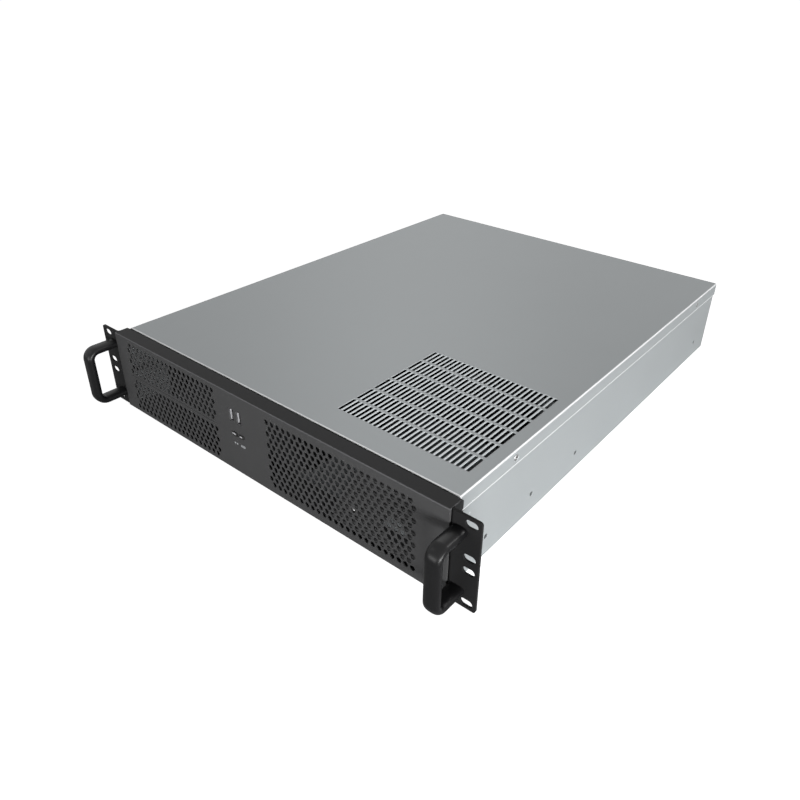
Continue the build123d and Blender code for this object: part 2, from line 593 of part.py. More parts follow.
def build_ac_inlet():
    """Moulded mains inlet that snaps into the rear wall: a rimmed hollow body, catches and three blades."""
    back = REAR_Y + INLET_FLANGE_T
    floor = back - INLET_DEPTH + INLET_FLOOR
    body_x, body_z = INLET_BODY_W / 2, INLET_BODY_H / 2
    rim = run_y(Rectangle(INLET_BODY_W + 2 * INLET_RIM, INLET_BODY_H + 2 * INLET_RIM), REAR_Y, back)
    body = run_y(Rectangle(INLET_BODY_W, INLET_BODY_H), back - INLET_DEPTH, back)
    mouth = Rectangle(INLET_BODY_W - 2 * INLET_WALL, INLET_BODY_H - 2 * INLET_WALL)
    hollow = run_y(mouth, floor, back + PAST)
    inlet = rim + body
    for side in (-1, 1):
        catch = Polygon((0, -SEAT), (INLET_CATCH, -SEAT), (0, -INLET_CATCH_L), align=None)
        wedge = run_z(Pos(body_x, REAR_FRONT) * catch, -body_z / 2, body_z / 2)
        inlet += wedge if side > 0 else wedge.mirror(Plane.YZ)
    inlet -= hollow
    blade = run_y(Rectangle(INLET_PIN_W, INLET_PIN_H), floor - PAST, floor + INLET_PIN_L)
    for x, z in ((-1, -1), (1, 0), (-1, 1)):
        inlet += Pos(x * INLET_PIN_OFFSET, 0, z * INLET_PIN_SPREAD) * blade
    return Pos(INLET_X, 0, INLET_Z) * inlet


def build_supply_bracket():
    """Upright frame that the power supply is screwed to, with a foot on the floor."""
    y0 = SUPPLY_Y + SUPPLY_D + FIT
    height = CEILING - SHEET - FLOOR
    profile = sheet_profile([(y0, FLOOR + height), (y0, FLOOR), (y0 + SUPPLY_FOOT, FLOOR)])
    bracket = run_x(profile, SUPPLY_X - SUPPLY_W / 2, SUPPLY_X + SUPPLY_W / 2)
    middle = (FLOOR + CEILING) / 2
    cuts = [Pos(SUPPLY_X, middle) * Rectangle(SUPPLY_W - 2 * SUPPLY_WINDOW_EDGE, SUPPLY_WINDOW_H)]
    corners = GridLocations(SUPPLY_W - 2 * SUPPLY_SCREW_EDGE, SUPPLY_SCREW_Z, 2, 2)
    hole = RegularPolygon(SUPPLY_SCREW_D / 2, SCREW_SIDES)
    cuts += [Pos(SUPPLY_X, middle) * spot * hole for spot in corners]
    return bracket - run_y(Sketch() + cuts, y0 - PAST, y0 + SHEET + PAST)


def build_drive_cage(x):
    """Bottomless cage for a stack of drives, with feet and slots for the drives' side screws."""
    inner = DRIVE_W / 2 + DRIVE_PLAY
    outer = inner + SHEET
    foot = outer + CAGE_FOOT
    top = FLOOR + CAGE_H
    profile = sheet_profile([(foot, FLOOR + SHEET), (outer, FLOOR + SHEET), (outer, top), (-outer, top),
                             (-outer, FLOOR + SHEET), (-foot, FLOOR + SHEET)])
    cage = Pos(x, 0, 0) * run_y(profile, CAGE_Y, CAGE_Y + DRIVE_L)
    cuts = [Pos(CAGE_Y + y, FLOOR + level) * Rectangle(CAGE_SLOT_L, CAGE_SLOT_W)
            for y in CAGE_SLOT_Y for level in CAGE_LEVELS]
    return cage - run_x(Sketch() + cuts, x - foot, x + foot)


def build_fan_wall():
    """Cross wall with a round opening for each fan, cable windows, a foot and a flange on each side."""
    height = FLOOR + FAN_WALL_H
    profile = sheet_profile([(FAN_WALL_Y + FAN_WALL_FOOT, height), (FAN_WALL_Y, height), (FAN_WALL_Y, FLOOR),
                             (FAN_WALL_Y + FAN_WALL_FOOT, FLOOR)])
    wall = run_x(profile, -NEST_X, NEST_X)
    flange_x = INNER_X - SEAT
    low, high = FLOOR + FAN_WALL_SIDE_CUT, height - FAN_WALL_SIDE_CUT
    for side in (-1, 1):
        wall += brick(side * (NEST_X - SHEET), side * flange_x, FAN_WALL_Y, FAN_WALL_Y + SHEET, low, high)
        wall += brick(side * (flange_x - SHEET), side * flange_x, FAN_WALL_Y, FAN_WALL_Y + FAN_WALL_SIDE,
                      low, high)
    cuts = [Pos(x, FAN_Z) * RegularPolygon(FAN_BORE / 2, ROUND_SIDES, major_radius=False) for x in FAN_X]
    cuts += [Pos(x + corner, FAN_Z + corner) * RegularPolygon(FAN_SCREW_D / 2 + SCREW_GAP, SCREW_SIDES)
             for x in FAN_X for corner in (-FAN_PITCH / 2, FAN_PITCH / 2)]
    window_x = BODY_X - CABLE_WINDOW_INSET - CABLE_WINDOW_W / 2
    cuts += [Pos(side * window_x, 0) * Rectangle(CABLE_WINDOW_W, CABLE_WINDOW_H) for side in (-1, 1)]
    return wall - run_y(Sketch() + cuts, FAN_WALL_Y - PAST, FAN_WALL_Y + SHEET + PAST)


def build_fan_frame(x):
    """Square fan body on the front of the wall, with its motor plate and four spokes at the wall's side."""
    outline = Rectangle(FAN_SIZE, FAN_SIZE) - RegularPolygon(FAN_BORE / 2, ROUND_SIDES, major_radius=False)
    outline -= [spot * RegularPolygon(FAN_SCREW_D / 2 + SCREW_GAP, SCREW_SIDES)
                for spot in GridLocations(FAN_PITCH, FAN_PITCH, 2, 2)]
    spoke_l = FAN_BORE + 2 * FAN_SPOKE_ROOT
    spokes = Rectangle(spoke_l, FAN_SPOKE_W) + Rectangle(FAN_SPOKE_W, spoke_l)
    motor = spokes + RegularPolygon(FAN_HUB_D / 2, SMALL_SIDES)
    motor -= RegularPolygon(SHAFT_D / 2 + SHAFT_CLEAR, SMALL_SIDES, major_radius=False)
    frame = run_y(outline, FAN_WALL_Y - FAN_DEPTH, FAN_WALL_Y)
    frame += run_y(motor, FAN_WALL_Y - FAN_BACK, FAN_WALL_Y)
    return Pos(x, 0, FAN_Z) * frame


def build_fan_rotor(x):
    """Hub with seven pitched blades and the short shaft that runs in the motor plate."""
    hub_back = FAN_WALL_Y - FAN_BACK - FAN_AXIAL_GAP
    hub_front = FAN_WALL_Y - FAN_DEPTH + FAN_FRONT_GAP
    side_reach = (FAN_BLADE_W * math.sin(math.radians(FAN_BLADE_ANGLE)) + FAN_BLADE_T) / 2
    tip = math.sqrt((FAN_BORE / 2 - FAN_TIP_GAP) ** 2 - side_reach ** 2)
    root = FAN_HUB_D / 2 - side_reach / 2
    plain = Box(FAN_BLADE_T, FAN_BLADE_W, tip - root)
    blade = Pos(0, (hub_front + hub_back) / 2, (tip + root) / 2) * Rot(0, 0, FAN_BLADE_ANGLE) * plain
    rotor = run_y(RegularPolygon(FAN_HUB_D / 2, SMALL_SIDES), hub_front, hub_back)
    rotor += [Rot(0, 360 / FAN_BLADES * k, 0) * blade for k in range(FAN_BLADES)]
    rotor += run_y(RegularPolygon(SHAFT_D / 2, SMALL_SIDES), hub_back - PAST, FAN_WALL_Y - FAN_AXIAL_GAP)
    return Pos(x, 0, FAN_Z) * rotor


def build_fan_screws():
    """Two screws across the corners of each fan, through the wall."""
    screw = bolt(FAN_SCREW_D, FAN_SCREW_HEAD, SHEET + FAN_SCREW_L)
    return [Pos(x + corner, FAN_WALL_Y + SHEET, FAN_Z + corner) * Rot(90, 0, 0) * screw
            for x in FAN_X for corner in (-FAN_PITCH / 2, FAN_PITCH / 2)]


def build_board_posts():
    """Nine six-sided mainboard posts on the floor; the threads of the corner ones are round bores."""
    post = extrude(RegularPolygon(POST_D / 2, SCREW_SIDES, major_radius=False), amount=POST_H)
    round_bore = run_z(Circle(POST_BORE_D / 2), POST_H - POST_BORE_H, POST_H + PAST)
    plain_bore = run_z(RegularPolygon(POST_BORE_D / 2, SCREW_SIDES), POST_H - POST_BORE_H, POST_H + PAST)
    posts = []
    for x in POST_X:
        for row in POST_ROWS:
            is_corner = x in (POST_X[0], POST_X[-1]) and row in (POST_ROWS[0], POST_ROWS[-1])
            bored = post - (round_bore if is_corner else plain_bore)
            posts.append(Pos(x, REAR_FRONT - POST_REAR - row, FLOOR) * bored)
    return posts


def build_usb_port(x):
    """Upright socket: a folded shell with its tongue, standing on the circuit board."""
    inner_w, inner_h = USB_SHELL_W - 2 * USB_WALL, USB_SHELL_H - 2 * USB_WALL
    shell = Rectangle(USB_SHELL_W, USB_SHELL_H) - Rectangle(inner_w, inner_h)
    port = run_y(shell, BEZEL_Y - USB_PROUD, BOARD_Y)
    port += run_y(Rectangle(inner_w, inner_h), BOARD_Y - USB_BASE, BOARD_Y)
    tongue_x = USB_TONGUE_GAP + USB_TONGUE_T / 2 - inner_w / 2
    tongue = Pos(tongue_x, 0) * Rectangle(USB_TONGUE_T, inner_h - 2 * USB_TONGUE_SHORT)
    port += run_y(tongue, BEZEL_Y + USB_TONGUE_BACK, BOARD_Y)
    return Pos(x, 0, USB_Z) * port


def build_button(x):
    """Push button: a cap through the bezel, a collar that keeps it in and a stem to its switch."""
    collar_y = BEZEL_BACK + BUTTON_COLLAR_GAP
    cap = run_y(Rectangle(BUTTON_W, BUTTON_H), BEZEL_Y - BUTTON_PROUD, collar_y)
    around = Rectangle(BUTTON_W + 2 * BUTTON_COLLAR, BUTTON_H + 2 * BUTTON_COLLAR)
    collar = run_y(around, collar_y, collar_y + BUTTON_COLLAR_T)
    stem = run_y(Rectangle(BUTTON_STEM, BUTTON_STEM), collar_y, switch_face() - BUTTON_TRAVEL - FIT)
    return Pos(x, 0, BUTTON_Z) * (cap + collar + stem)


def switch_face():
    """The Y of the switches' fixed front faces on the circuit board."""
    return BOARD_Y - SWITCH_SIZE


def build_control_board():
    """Circuit board behind the bezel with the two switches, on four posts from the front frame."""
    board = Pos(BOARD_X, 0, 0) * run_y(Rectangle(BOARD_W, BOARD_H), BOARD_Y, BOARD_Y + BOARD_T)
    for x in BUTTON_X:
        board += brick(x - SWITCH_SIZE / 2, x + SWITCH_SIZE / 2, switch_face(), BOARD_Y,
                       BUTTON_Z - SWITCH_SIZE / 2, BUTTON_Z + SWITCH_SIZE / 2)
    return board


def build_board_spacers():
    """Four six-sided spacers between the front frame and the circuit board."""
    spacer = run_y(RegularPolygon(BOARD_POST_D / 2, SCREW_SIDES), FRAME_BACK, BOARD_Y)
    inset_x, inset_z = BOARD_W / 2 - BOARD_POST_D / 2, BOARD_H / 2 - BOARD_POST_D / 2
    return [Pos(BOARD_X + sx * inset_x, 0, sz * inset_z) * spacer for sx in (-1, 1) for sz in (-1, 1)]


def build_lens(x):
    """Clear light guide from the board's lamp through the bezel."""
    guide = run_y(Rectangle(LENS_W, LENS_H), BEZEL_Y - SEAT, BEZEL_BACK + SEAT)
    guide += run_y(Rectangle(LENS_H, LENS_H), BEZEL_BACK, BOARD_Y)
    return Pos(x, 0, LENS_Z) * guide


def build_nodes():
    """Every node of the case by name."""
    nodes = {
        "chassis_pan": build_chassis_pan(),
        "front_frame": build_front_frame(),
        "front_bezel": build_front_bezel(),
        "rear_panel": build_rear_panel(),
        "top_cover": build_top_cover(),
        "cover_screws": build_cover_screws(),
        "handle_screws": build_handle_screws(),
        "ear_screws": build_ear_screws(),
        "slot_ledge": build_slot_ledge(),
        "slot_screws": build_slot_screws(),
        "ac_inlet": build_ac_inlet(),
        "supply_bracket": build_supply_bracket(),
        "fan_wall": build_fan_wall(),
        "fan_screws": build_fan_screws(),
        "board_posts": build_board_posts(),
        "control_board": build_control_board(),
        "board_spacers": build_board_spacers(),
    }
    for name, side in (("left", -1), ("right", 1)):
        nodes["ear_" + name] = build_ear(side)
        nodes["handle_" + name] = build_handle(side)
    for k, x in enumerate(expansion_places(), 1):
        nodes["slot_cover_%d" % k] = build_slot_cover(x)
    for name, x in zip(("left", "right"), CAGE_X):
        nodes["drive_cage_" + name] = build_drive_cage(x)
    for k, x in enumerate(FAN_X, 1):
        nodes["fan_frame_%d" % k] = build_fan_frame(x)
        nodes["fan_rotor_%d" % k] = build_fan_rotor(x)
    for name, x in zip(("left", "right"), USB_X):
        nodes["usb_port_" + name] = build_usb_port(x)
    for name, x in zip(("power", "reset"), BUTTON_X):
        nodes[name + "_button"] = build_button(x)
    for name, x in zip(("power", "disk"), BUTTON_X):
        nodes[name + "_lens"] = build_lens(x)
    return nodes


os.makedirs("parts", exist_ok=True)
for node, solid in build_nodes().items():
    if isinstance(solid, list):
        solid = Compound(children=solid)
    export_step(solid, "parts/%s.step" % node)
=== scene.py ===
"""Looks of an empty two-unit rackmount server case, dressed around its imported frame.

The case's own frame is in metres. Its origin is the middle of the rack slots' pattern, on the ears' front
plane; +X runs to the right seen from the front, +Y back into the rack and +Z up. The sizes of pieces are in
millimetres.
"""

import json
import logging
import math
from dataclasses import dataclass, field
from enum import Enum
from typing import Callable, ClassVar

import bmesh
import bpy
from mathutils import Matrix, Vector


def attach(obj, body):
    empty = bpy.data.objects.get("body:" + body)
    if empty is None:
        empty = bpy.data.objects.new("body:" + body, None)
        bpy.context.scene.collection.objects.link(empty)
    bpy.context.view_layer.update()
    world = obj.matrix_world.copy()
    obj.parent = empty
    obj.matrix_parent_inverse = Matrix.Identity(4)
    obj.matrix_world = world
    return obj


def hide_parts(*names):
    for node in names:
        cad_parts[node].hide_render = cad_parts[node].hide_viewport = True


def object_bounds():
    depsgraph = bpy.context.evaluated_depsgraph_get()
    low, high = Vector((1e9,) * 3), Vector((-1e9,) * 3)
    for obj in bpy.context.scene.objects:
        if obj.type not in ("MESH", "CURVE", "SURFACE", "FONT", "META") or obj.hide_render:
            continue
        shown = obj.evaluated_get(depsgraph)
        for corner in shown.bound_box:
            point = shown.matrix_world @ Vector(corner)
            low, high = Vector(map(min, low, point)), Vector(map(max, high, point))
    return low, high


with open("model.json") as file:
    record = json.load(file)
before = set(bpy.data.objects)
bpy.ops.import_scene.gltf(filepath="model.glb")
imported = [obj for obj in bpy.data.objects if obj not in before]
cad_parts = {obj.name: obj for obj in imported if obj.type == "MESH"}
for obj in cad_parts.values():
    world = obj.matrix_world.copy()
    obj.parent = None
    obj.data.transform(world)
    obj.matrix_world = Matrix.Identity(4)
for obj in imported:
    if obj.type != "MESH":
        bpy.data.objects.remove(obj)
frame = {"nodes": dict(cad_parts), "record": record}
CAD_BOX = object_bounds()
LOG = logging.getLogger("server_case")
MM = 0.001
Triple = tuple[float, float, float]
Point = tuple[float, float]
Outline = list[Point]
Grown = Callable[[float], Outline]
SIDES = (-1, 1)
CORNERS = ((-1, -1), (1, -1), (1, 1), (-1, 1))


class Signal:
    """A socket of a node tree that Python's operators can work on."""

    def __init__(self, graph: "Graph", socket: bpy.types.NodeSocket) -> None:
        """Keeps the socket and the tree that it belongs to."""
        self.graph = graph
        self.socket = socket

    def _math(self, operation: str, *operands: "Signal | float") -> "Signal":
        """Adds a Math node that works on the operands."""
        return self.graph.node("ShaderNodeMath", {"operation": operation}, dict(enumerate(operands)))

    def __add__(self, other: "Signal | float") -> "Signal":
        """Adds."""
        return self._math("ADD", self, other)

    def __radd__(self, other: float) -> "Signal":
        """Adds, with the number first."""
        return self._math("ADD", other, self)

    def __sub__(self, other: "Signal | float") -> "Signal":
        """Subtracts."""
        return self._math("SUBTRACT", self, other)

    def __mul__(self, other: "Signal | float") -> "Signal":
        """Multiplies."""
        return self._math("MULTIPLY", self, other)

    def __truediv__(self, other: "Signal | float") -> "Signal":
        """Divides."""
        return self._math("DIVIDE", self, other)

    def __mod__(self, other: "Signal | float") -> "Signal":
        """What a division leaves."""
        return self._math("MODULO", self, other)

    def __abs__(self) -> "Signal":
        """The size without the sign."""
        return self._math("ABSOLUTE", self)

    def fraction(self) -> "Signal":
        """What is above the whole number below."""
        return self._math("FRACT", self)

    def below(self, limit: float, blur: float) -> "Signal":
        """A mask of what lies under a limit.

        Args:
            limit: Where the mask is a half.
            blur: How far to each side of the limit it fades.

        Returns:
            1 under the limit and 0 above it.
        """
        values = {"Value": self, "From Min": limit + blur, "From Max": limit - blur}
        return self.graph.node("ShaderNodeMapRange", {"interpolation_type": "SMOOTHSTEP"}, values)


class Graph:
    """A node tree whose nodes are added together with what feeds them."""

    def __init__(self, tree: bpy.types.NodeTree) -> None:
        """Keeps the tree."""
        self.tree = tree

    def node(self, kind: str, settings: dict, values: dict, out: int | str = 0) -> Signal:
        """Adds a node.

        Args:
            kind: The node's type.
            settings: Properties of the node, set before its sockets.
            values: Numbers, tuples or signals by the socket's name or index.
            out: The output that is handed back.

        Returns:
            The output as a signal.
        """
        made = self.tree.nodes.new(kind)
        for name, setting in settings.items():
            setattr(made, name, setting)
        for key, value in values.items():
            self.feed(made.inputs[key], value)
        return Signal(self, made.outputs[out])

    def feed(self, socket: bpy.types.NodeSocket, value: "Signal | float | tuple") -> None:
        """Links a signal to a socket, or sets the socket's own value."""
        if isinstance(value, Signal):
            self.tree.links.new(value.socket, socket)
        else:
            socket.default_value = value


class Shade(Graph):
    """Builds the nodes of one material."""

    def __init__(self, name: str) -> None:
        """Starts a material with its Principled shader.

        Args:
            name: The material's name.
        """
        self.material = bpy.data.materials.new(name)
        self.material.use_nodes = True
        super().__init__(self.material.node_tree)
        self.shader = self.tree.nodes["Principled BSDF"]

    def place(self, scale: Triple = (1.0, 1.0, 1.0)) -> Signal:
        """Object coordinates, stretched for a pattern.

        Args:
            scale: Factor on each axis.

        Returns:
            The coordinates.
        """
        spot = self.node("ShaderNodeTexCoord", {}, {}, "Object")
        return self.node("ShaderNodeMapping", {}, {"Vector": spot, "Scale": scale})

    def noise(self, scale: float, detail: float = 2.0, stretch: Triple = (1.0, 1.0, 1.0)) -> Signal:
        """Noise between 0 and 1.

        Args:
            scale: Features in a metre.
            detail: Octaves.
            stretch: Factor on each axis.

        Returns:
            The noise's value.
        """
        values = {"Vector": self.place(stretch), "Scale": scale, "Detail": detail}
        return self.node("ShaderNodeTexNoise", {}, values, "Fac")

    def along(self, axis: str) -> Signal:
        """The place on one axis, in metres."""
        return self.node("ShaderNodeSeparateXYZ", {}, {"Vector": self.place()}, axis)

    def painted_line_mask(self, line: "Line") -> Signal:
        """The mask of a line of painted light, for painted highlights and a painted shadow alike: 1 on a line
        that runs along one axis, falling to 0 at the line's half width.
        """
        square = None
        for axis, at in line.places:
            spot = abs(self.along(axis)) if axis == "X" else self.along(axis)
            off = (spot - at) * (1 / line.half_width)
            square = off * off if square is None else square + off * off
        return square.below(*line.fade)

    def blend(self, mask: "Signal | float", low: "Signal | tuple", high: "Signal | tuple") -> Signal:
        """A colour between two colours.

        Args:
            mask: 0 gives the low colour and 1 the high one.
            low: A colour.
            high: A colour.

        Returns:
            The mixed colour.
        """
        return self.node("ShaderNodeMix", {"data_type": "RGBA"}, {0: mask, 6: rgba(low), 7: rgba(high)}, 2)

    def with_painted_lines(self, colour: Signal, painted_lines: "tuple[Line, ...]", bright: tuple) -> Signal:
        """The colour, turned to a painted colour along each given line: a painted highlight where that colour
        is light, a painted shadow where it is dark.
        """
        for line in painted_lines:
            colour = self.blend(self.painted_line_mask(line), colour, bright)
        return colour

    def bump(self, height: Signal, depth: float, strength: float = 1.0) -> None:
        """Feeds the shader's normal with a bump.

        Args:
            height: The height between 0 and 1.
            depth: What a height of 1 stands for, in metres.
            strength: Share of the bump that is used.
        """
        values = {"Height": height, "Distance": depth, "Strength": strength}
        self.feed(self.shader.inputs["Normal"], self.node("ShaderNodeBump", {}, values))

    def set(self, **values: "Signal | float | tuple") -> None:
        """Sets sockets of the Principled shader by name, with underscores for blanks."""
        for name, value in values.items():
            self.feed(self.shader.inputs[name.replace("_", " ")], value)


def rgba(colour: "Signal | tuple") -> "Signal | tuple":
    """The colour with full opacity; a signal stays as it is."""
    return colour if isinstance(colour, Signal) else (*colour[:3], 1.0)


def toned(colour: Triple, factor: float) -> tuple[float, ...]:
    """The colour made darker or lighter."""
    return tuple(c * factor for c in colour)


@dataclass(frozen=True)
class Line:
    """A straight fold, cut edge or seam along which light is painted into the colour, in metres: a painted
    highlight on folds and cut edges, a painted shadow in a seam.

    It has a place on two axes, in X on both sides of the case. Its fade says where the line ends and how
    softly, in the square of a distance as a share of the half width.
    """

    places: tuple[tuple[str, float], tuple[str, float]]
    half_width: float = 0.0009
    fade: Point = (0.65, 0.35)


@dataclass(frozen=True)
class Grille:
    """A slotted field whose bars between the slots get a painted highlight, a lighter colour in place of the
    light on their edges, in metres.
    """

    middle: Point
    half_width: float
    row_pitch: float
    rows: int
    slot: float
    blur: float = 0.0004
    row_blur: float = 0.02
    painted_highlight_gain: float = 1.75

    def mask(self, shade: Shade) -> Signal:
        """1 on the bars between the slots, where the painted highlight goes."""
        across = abs(shade.along("X") - self.middle[0]).below(self.half_width, self.blur)
        run = shade.along("Y") - self.middle[1]
        deep = abs(run).below(self.row_pitch * self.rows / 2, self.blur)
        row = abs((run * (1 / self.row_pitch)).fraction() - 0.5)
        return across * deep * row.below(self.slot / self.row_pitch / 2, self.row_blur)


@dataclass(frozen=True)
class CoatedSheet:
    """Zinc-coated sheet steel, rolled and passivated: satin, with a faint cloud and a fine rolling grain."""

    name: str
    # painted light along folds, cut edges and seams: a light colour gives a painted highlight, a dark one a
    # painted shadow
    painted_lines: tuple[Line, ...] = ()
    painted_line_tone: Triple = (0.85, 0.86, 0.87)
    grille: Grille | None = None
    tone: Triple = (0.395, 0.419, 0.428)
    metallic: float = 0.3
    roughness: float = 0.46
    cloud: float = 0.05
    cloud_share: float = 0.7
    grain_roughness: float = 0.06

    def build(self) -> bpy.types.Material:
        """Builds the material."""
        shade = Shade(self.name)
        cloud = shade.noise(scale=14.0, detail=3.0)
        grain = shade.noise(scale=900.0, detail=3.0, stretch=(1.0, 0.08, 1.0))
        mottle = cloud * self.cloud_share + grain * (1 - self.cloud_share)
        sheet = shade.blend(mottle, toned(self.tone, 1 - self.cloud), toned(self.tone, 1 + self.cloud))
        # painted highlight: the bars between the cover's slots are lightened
        if self.grille:
            sheet = shade.blend(self.grille.mask(shade), sheet, toned(self.tone, self.grille.painted_highlight_gain))
        shade.set(Base_Color=shade.with_painted_lines(sheet, self.painted_lines, self.painted_line_tone))
        shade.set(Roughness=self.roughness - self.cloud + cloud * self.cloud + grain * self.grain_roughness)
        shade.set(Metallic=self.metallic)
        shade.bump(grain, depth=0.00001, strength=0.35)
        return shade.material


@dataclass(frozen=True)
class PowderCoat:
    """Black powder coat with the fine orange peel of cured powder."""

    name: str
    tone: Triple
    painted_lines: tuple[Line, ...] = ()
    # colour of painted highlights along folds and cut edges
    thin: Triple = (0.14, 0.14, 0.145)
    roughness: float = 0.42
    specular: float = 0.05
    cloud: float = 0.15
    peel_roughness: float = 0.08

    def build(self) -> bpy.types.Material:
        """Builds the material."""
        shade = Shade(self.name)
        peel = shade.noise(scale=1600.0)
        cloud = shade.noise(scale=30.0)
        coat = shade.blend(cloud, self.tone, toned(self.tone, 1 + self.cloud))
        shade.set(Base_Color=shade.with_painted_lines(coat, self.painted_lines, self.thin))
        shade.set(Roughness=self.roughness + peel * self.peel_roughness, Specular_IOR_Level=self.specular)
        shade.bump(peel, depth=0.00002, strength=0.5)
        return shade.material


@dataclass(frozen=True)
class Moulded:
    """Moulded plastic with a slight spark-eroded texture."""

    name: str
    tone: Triple
    roughness: float = 0.5
    speckle: float = 0.1
    texture_roughness: float = 0.06

    def build(self) -> bpy.types.Material:
        """Builds the material."""
        shade = Shade(self.name)
        texture = shade.noise(scale=2500.0)
        shade.set(Base_Color=shade.blend(texture, self.tone, toned(self.tone, 1 + self.speckle)))
        shade.set(Roughness=self.roughness + texture * self.texture_roughness)
        shade.bump(texture, depth=0.00001, strength=0.5)
        return shade.material


@dataclass(frozen=True)
class Plated:
    """Bright or black plated metal of screws, sockets and posts."""

    name: str
    tone: Triple
    roughness: float = 0.3
    dulling: float = 0.15
    wear_roughness: float = 0.1

    def build(self) -> bpy.types.Material:
        """Builds the material."""
        shade = Shade(self.name)
        wear = shade.noise(scale=700.0, detail=3.0)
        shade.set(Base_Color=shade.blend(wear, self.tone, toned(self.tone, 1 - self.dulling)))
        shade.set(Roughness=self.roughness + wear * self.wear_roughness, Metallic=1.0)
        return shade.material


class Finish(Enum):
    """The finishes by the name of their material slot in the record."""

    galvanised_steel = CoatedSheet("coated_sheet")
    black_paint = PowderCoat("black_powder", (0.018, 0.018, 0.0185))
    black_anodised = PowderCoat("black_handle", (0.006, 0.006, 0.0065), roughness=0.28, specular=0.25)
    screw_zinc = Plated("bright_zinc", (0.62, 0.62, 0.62))
    screw_black = Plated("black_zinc", (0.06, 0.06, 0.065), 0.4)
    post_brass = Plated("turned_brass", (0.72, 0.56, 0.28))
    circuit_board = Moulded("green_resist", (0.02, 0.13, 0.05), 0.35)
    black_plastic = Moulded("black_moulding", (0.010, 0.010, 0.010))
    fan_plastic = Moulded("fan_moulding", (0.03, 0.03, 0.031), 0.45)
    socket_steel = Plated("dull_nickel", (0.3, 0.3, 0.31), 0.4)
    button_plastic = Moulded("pale_button", (0.5, 0.5, 0.52), 0.3)
    lens_plastic = Moulded("clear_guide", (0.3, 0.31, 0.32), 0.25)


class Look(Enum):
    """Finishes of single pieces, with their folds and cut edges."""

    # painted highlights along the cover's front edge, the bend into each side, the lip's flare and the lip's
    # front edge
    cover = CoatedSheet("cover_sheet", painted_lines=(
        Line((("Y", 0.0148), ("Z", 0.04385)), 0.0013),
        Line((("X", 0.2122), ("Z", 0.04375)), 0.0011),
        Line((("X", 0.2129), ("Z", 0.0303)), 0.0005),
        Line((("X", 0.2122), ("Y", 0.0146)), 0.0011),
    ), grille=Grille(middle=(0.1299, 0.1119), half_width=0.0695, row_pitch=0.0235, rows=6, slot=0.0206))
    # painted shadow: a dark line on the pan's wall where the gap under the cover's lip lies in shade
    pan = CoatedSheet("pan_sheet", painted_lines=(Line((("X", 0.2113), ("Z", 0.0291))),), painted_line_tone=(0.12, 0.125, 0.13))
    # painted highlights along the bezel's top and bottom front folds and along the top of its side edge
    bezel = PowderCoat("bezel_powder", (0.061, 0.061, 0.062), painted_lines=(
        Line((("Y", -0.0018), ("Z", 0.04385)), 0.0008),
        Line((("Y", -0.0018), ("Z", -0.04385)), 0.0008),
        Line((("X", 0.2146), ("Z", 0.04385)), 0.0007),
    ))
    plate = PowderCoat("frame_powder", (0.075, 0.075, 0.076))
    # near-black paint, darker than the bezel's, which also stands as painted shade for the dark inside of the
    # case seen through the grille
    cage_shade = PowderCoat("cage_black_and_shade", (0.008, 0.008, 0.0085))


# Sizes that pieces share, in millimetres, as all sizes of pieces are.
TOP = 44.05             # top of cover, bezel and ears over the middle; the floor lies as far below
PANEL_HALF = 241.3      # outer edge of an ear from the middle
COVER_HALF = 212.5      # the cover's side from the middle
CASE_BACK = 554.0       # the cover's rear face
FACE = -2.0             # the bezel's front face
SHEET = 1.0             # steel of cover, pan and bezel
BEND = 0.6              # inside radius of their bends
EDGE = 0.25             # rounding of their cut edges
RIM = 0.2               # broken edge of an opening
PAST = 0.5              # how far an opening's cutter runs past the sheet
CLEAR = 1.0             # how far any other cutter runs past what it cuts


class Along(Enum):
    """The axis an outline is extruded along: where its own two axes and the run are found in X, Y and Z."""

    X = (2, 0, 1)
    Y = (0, 2, 1)
    Z = (0, 1, 2)

    def lift(self, u: float, v: float, run: float) -> Vector:
        """The point in metres."""
        return Vector([(u, v, run)[k] for k in self.value]) * MM


def circle(u: float, v: float, radius: float, sides: int = 24) -> Outline:
    """A round outline in millimetres."""
    turns = [math.tau * k / sides for k in range(sides)]
    return [(u + radius * math.cos(t), v + radius * math.sin(t)) for t in turns]


def rounded(corners: Outline, radii: list[float], steps: int = 6) -> Outline:
    """A polygon with arcs at its corners.

    Args:
        corners: Its corners.
        radii: The radius at each corner, 0 for a sharp one.
        steps: Runs in each arc.

    Returns:
        The outline.
    """
    made = []
    for k, (corner, radius) in enumerate(zip(corners, radii)):
        here = Vector(corner)
        if radius <= 0:
            made.append(tuple(here))
            continue
        back = (Vector(corners[k - 1]) - here).normalized()
        ahead = (Vector(corners[(k + 1) % len(corners)]) - here).normalized()
        half = back.angle(ahead) / 2
        centre = here + (back + ahead).normalized() * (radius / math.sin(half))
        start = here + back * (radius / math.tan(half)) - centre
        end = here + ahead * (radius / math.tan(half)) - centre
        first = math.atan2(start.y, start.x)
        sweep = (math.atan2(end.y, end.x) - first + math.pi) % math.tau - math.pi
        for step in range(steps + 1):
            turn = first + sweep * step / steps
            made.append((centre.x + radius * math.cos(turn), centre.y + radius * math.sin(turn)))
    return made


def oval(width: float, height: float, power: float = 2.5, steps: int = 28) -> Outline:
    """A rounded section round the origin, between an ellipse (power 2) and a rectangle."""
    turns = [math.tau * k / steps for k in range(steps)]
    bulge = 2 / power
    return [(math.copysign(abs(math.cos(t)) ** bulge, math.cos(t)) * width / 2,
             math.copysign(abs(math.sin(t)) ** bulge, math.sin(t)) * height / 2) for t in turns]


def pane(u: float, v: float, width: float, height: float, corner: float = 0.0, steps: int = 5) -> Outline:
    """A rectangle round a middle, with rounded corners."""
    a, b = width / 2, height / 2
    return rounded([(u - a, v - b), (u + a, v - b), (u + a, v + b), (u - a, v + b)], [corner] * 4, steps)


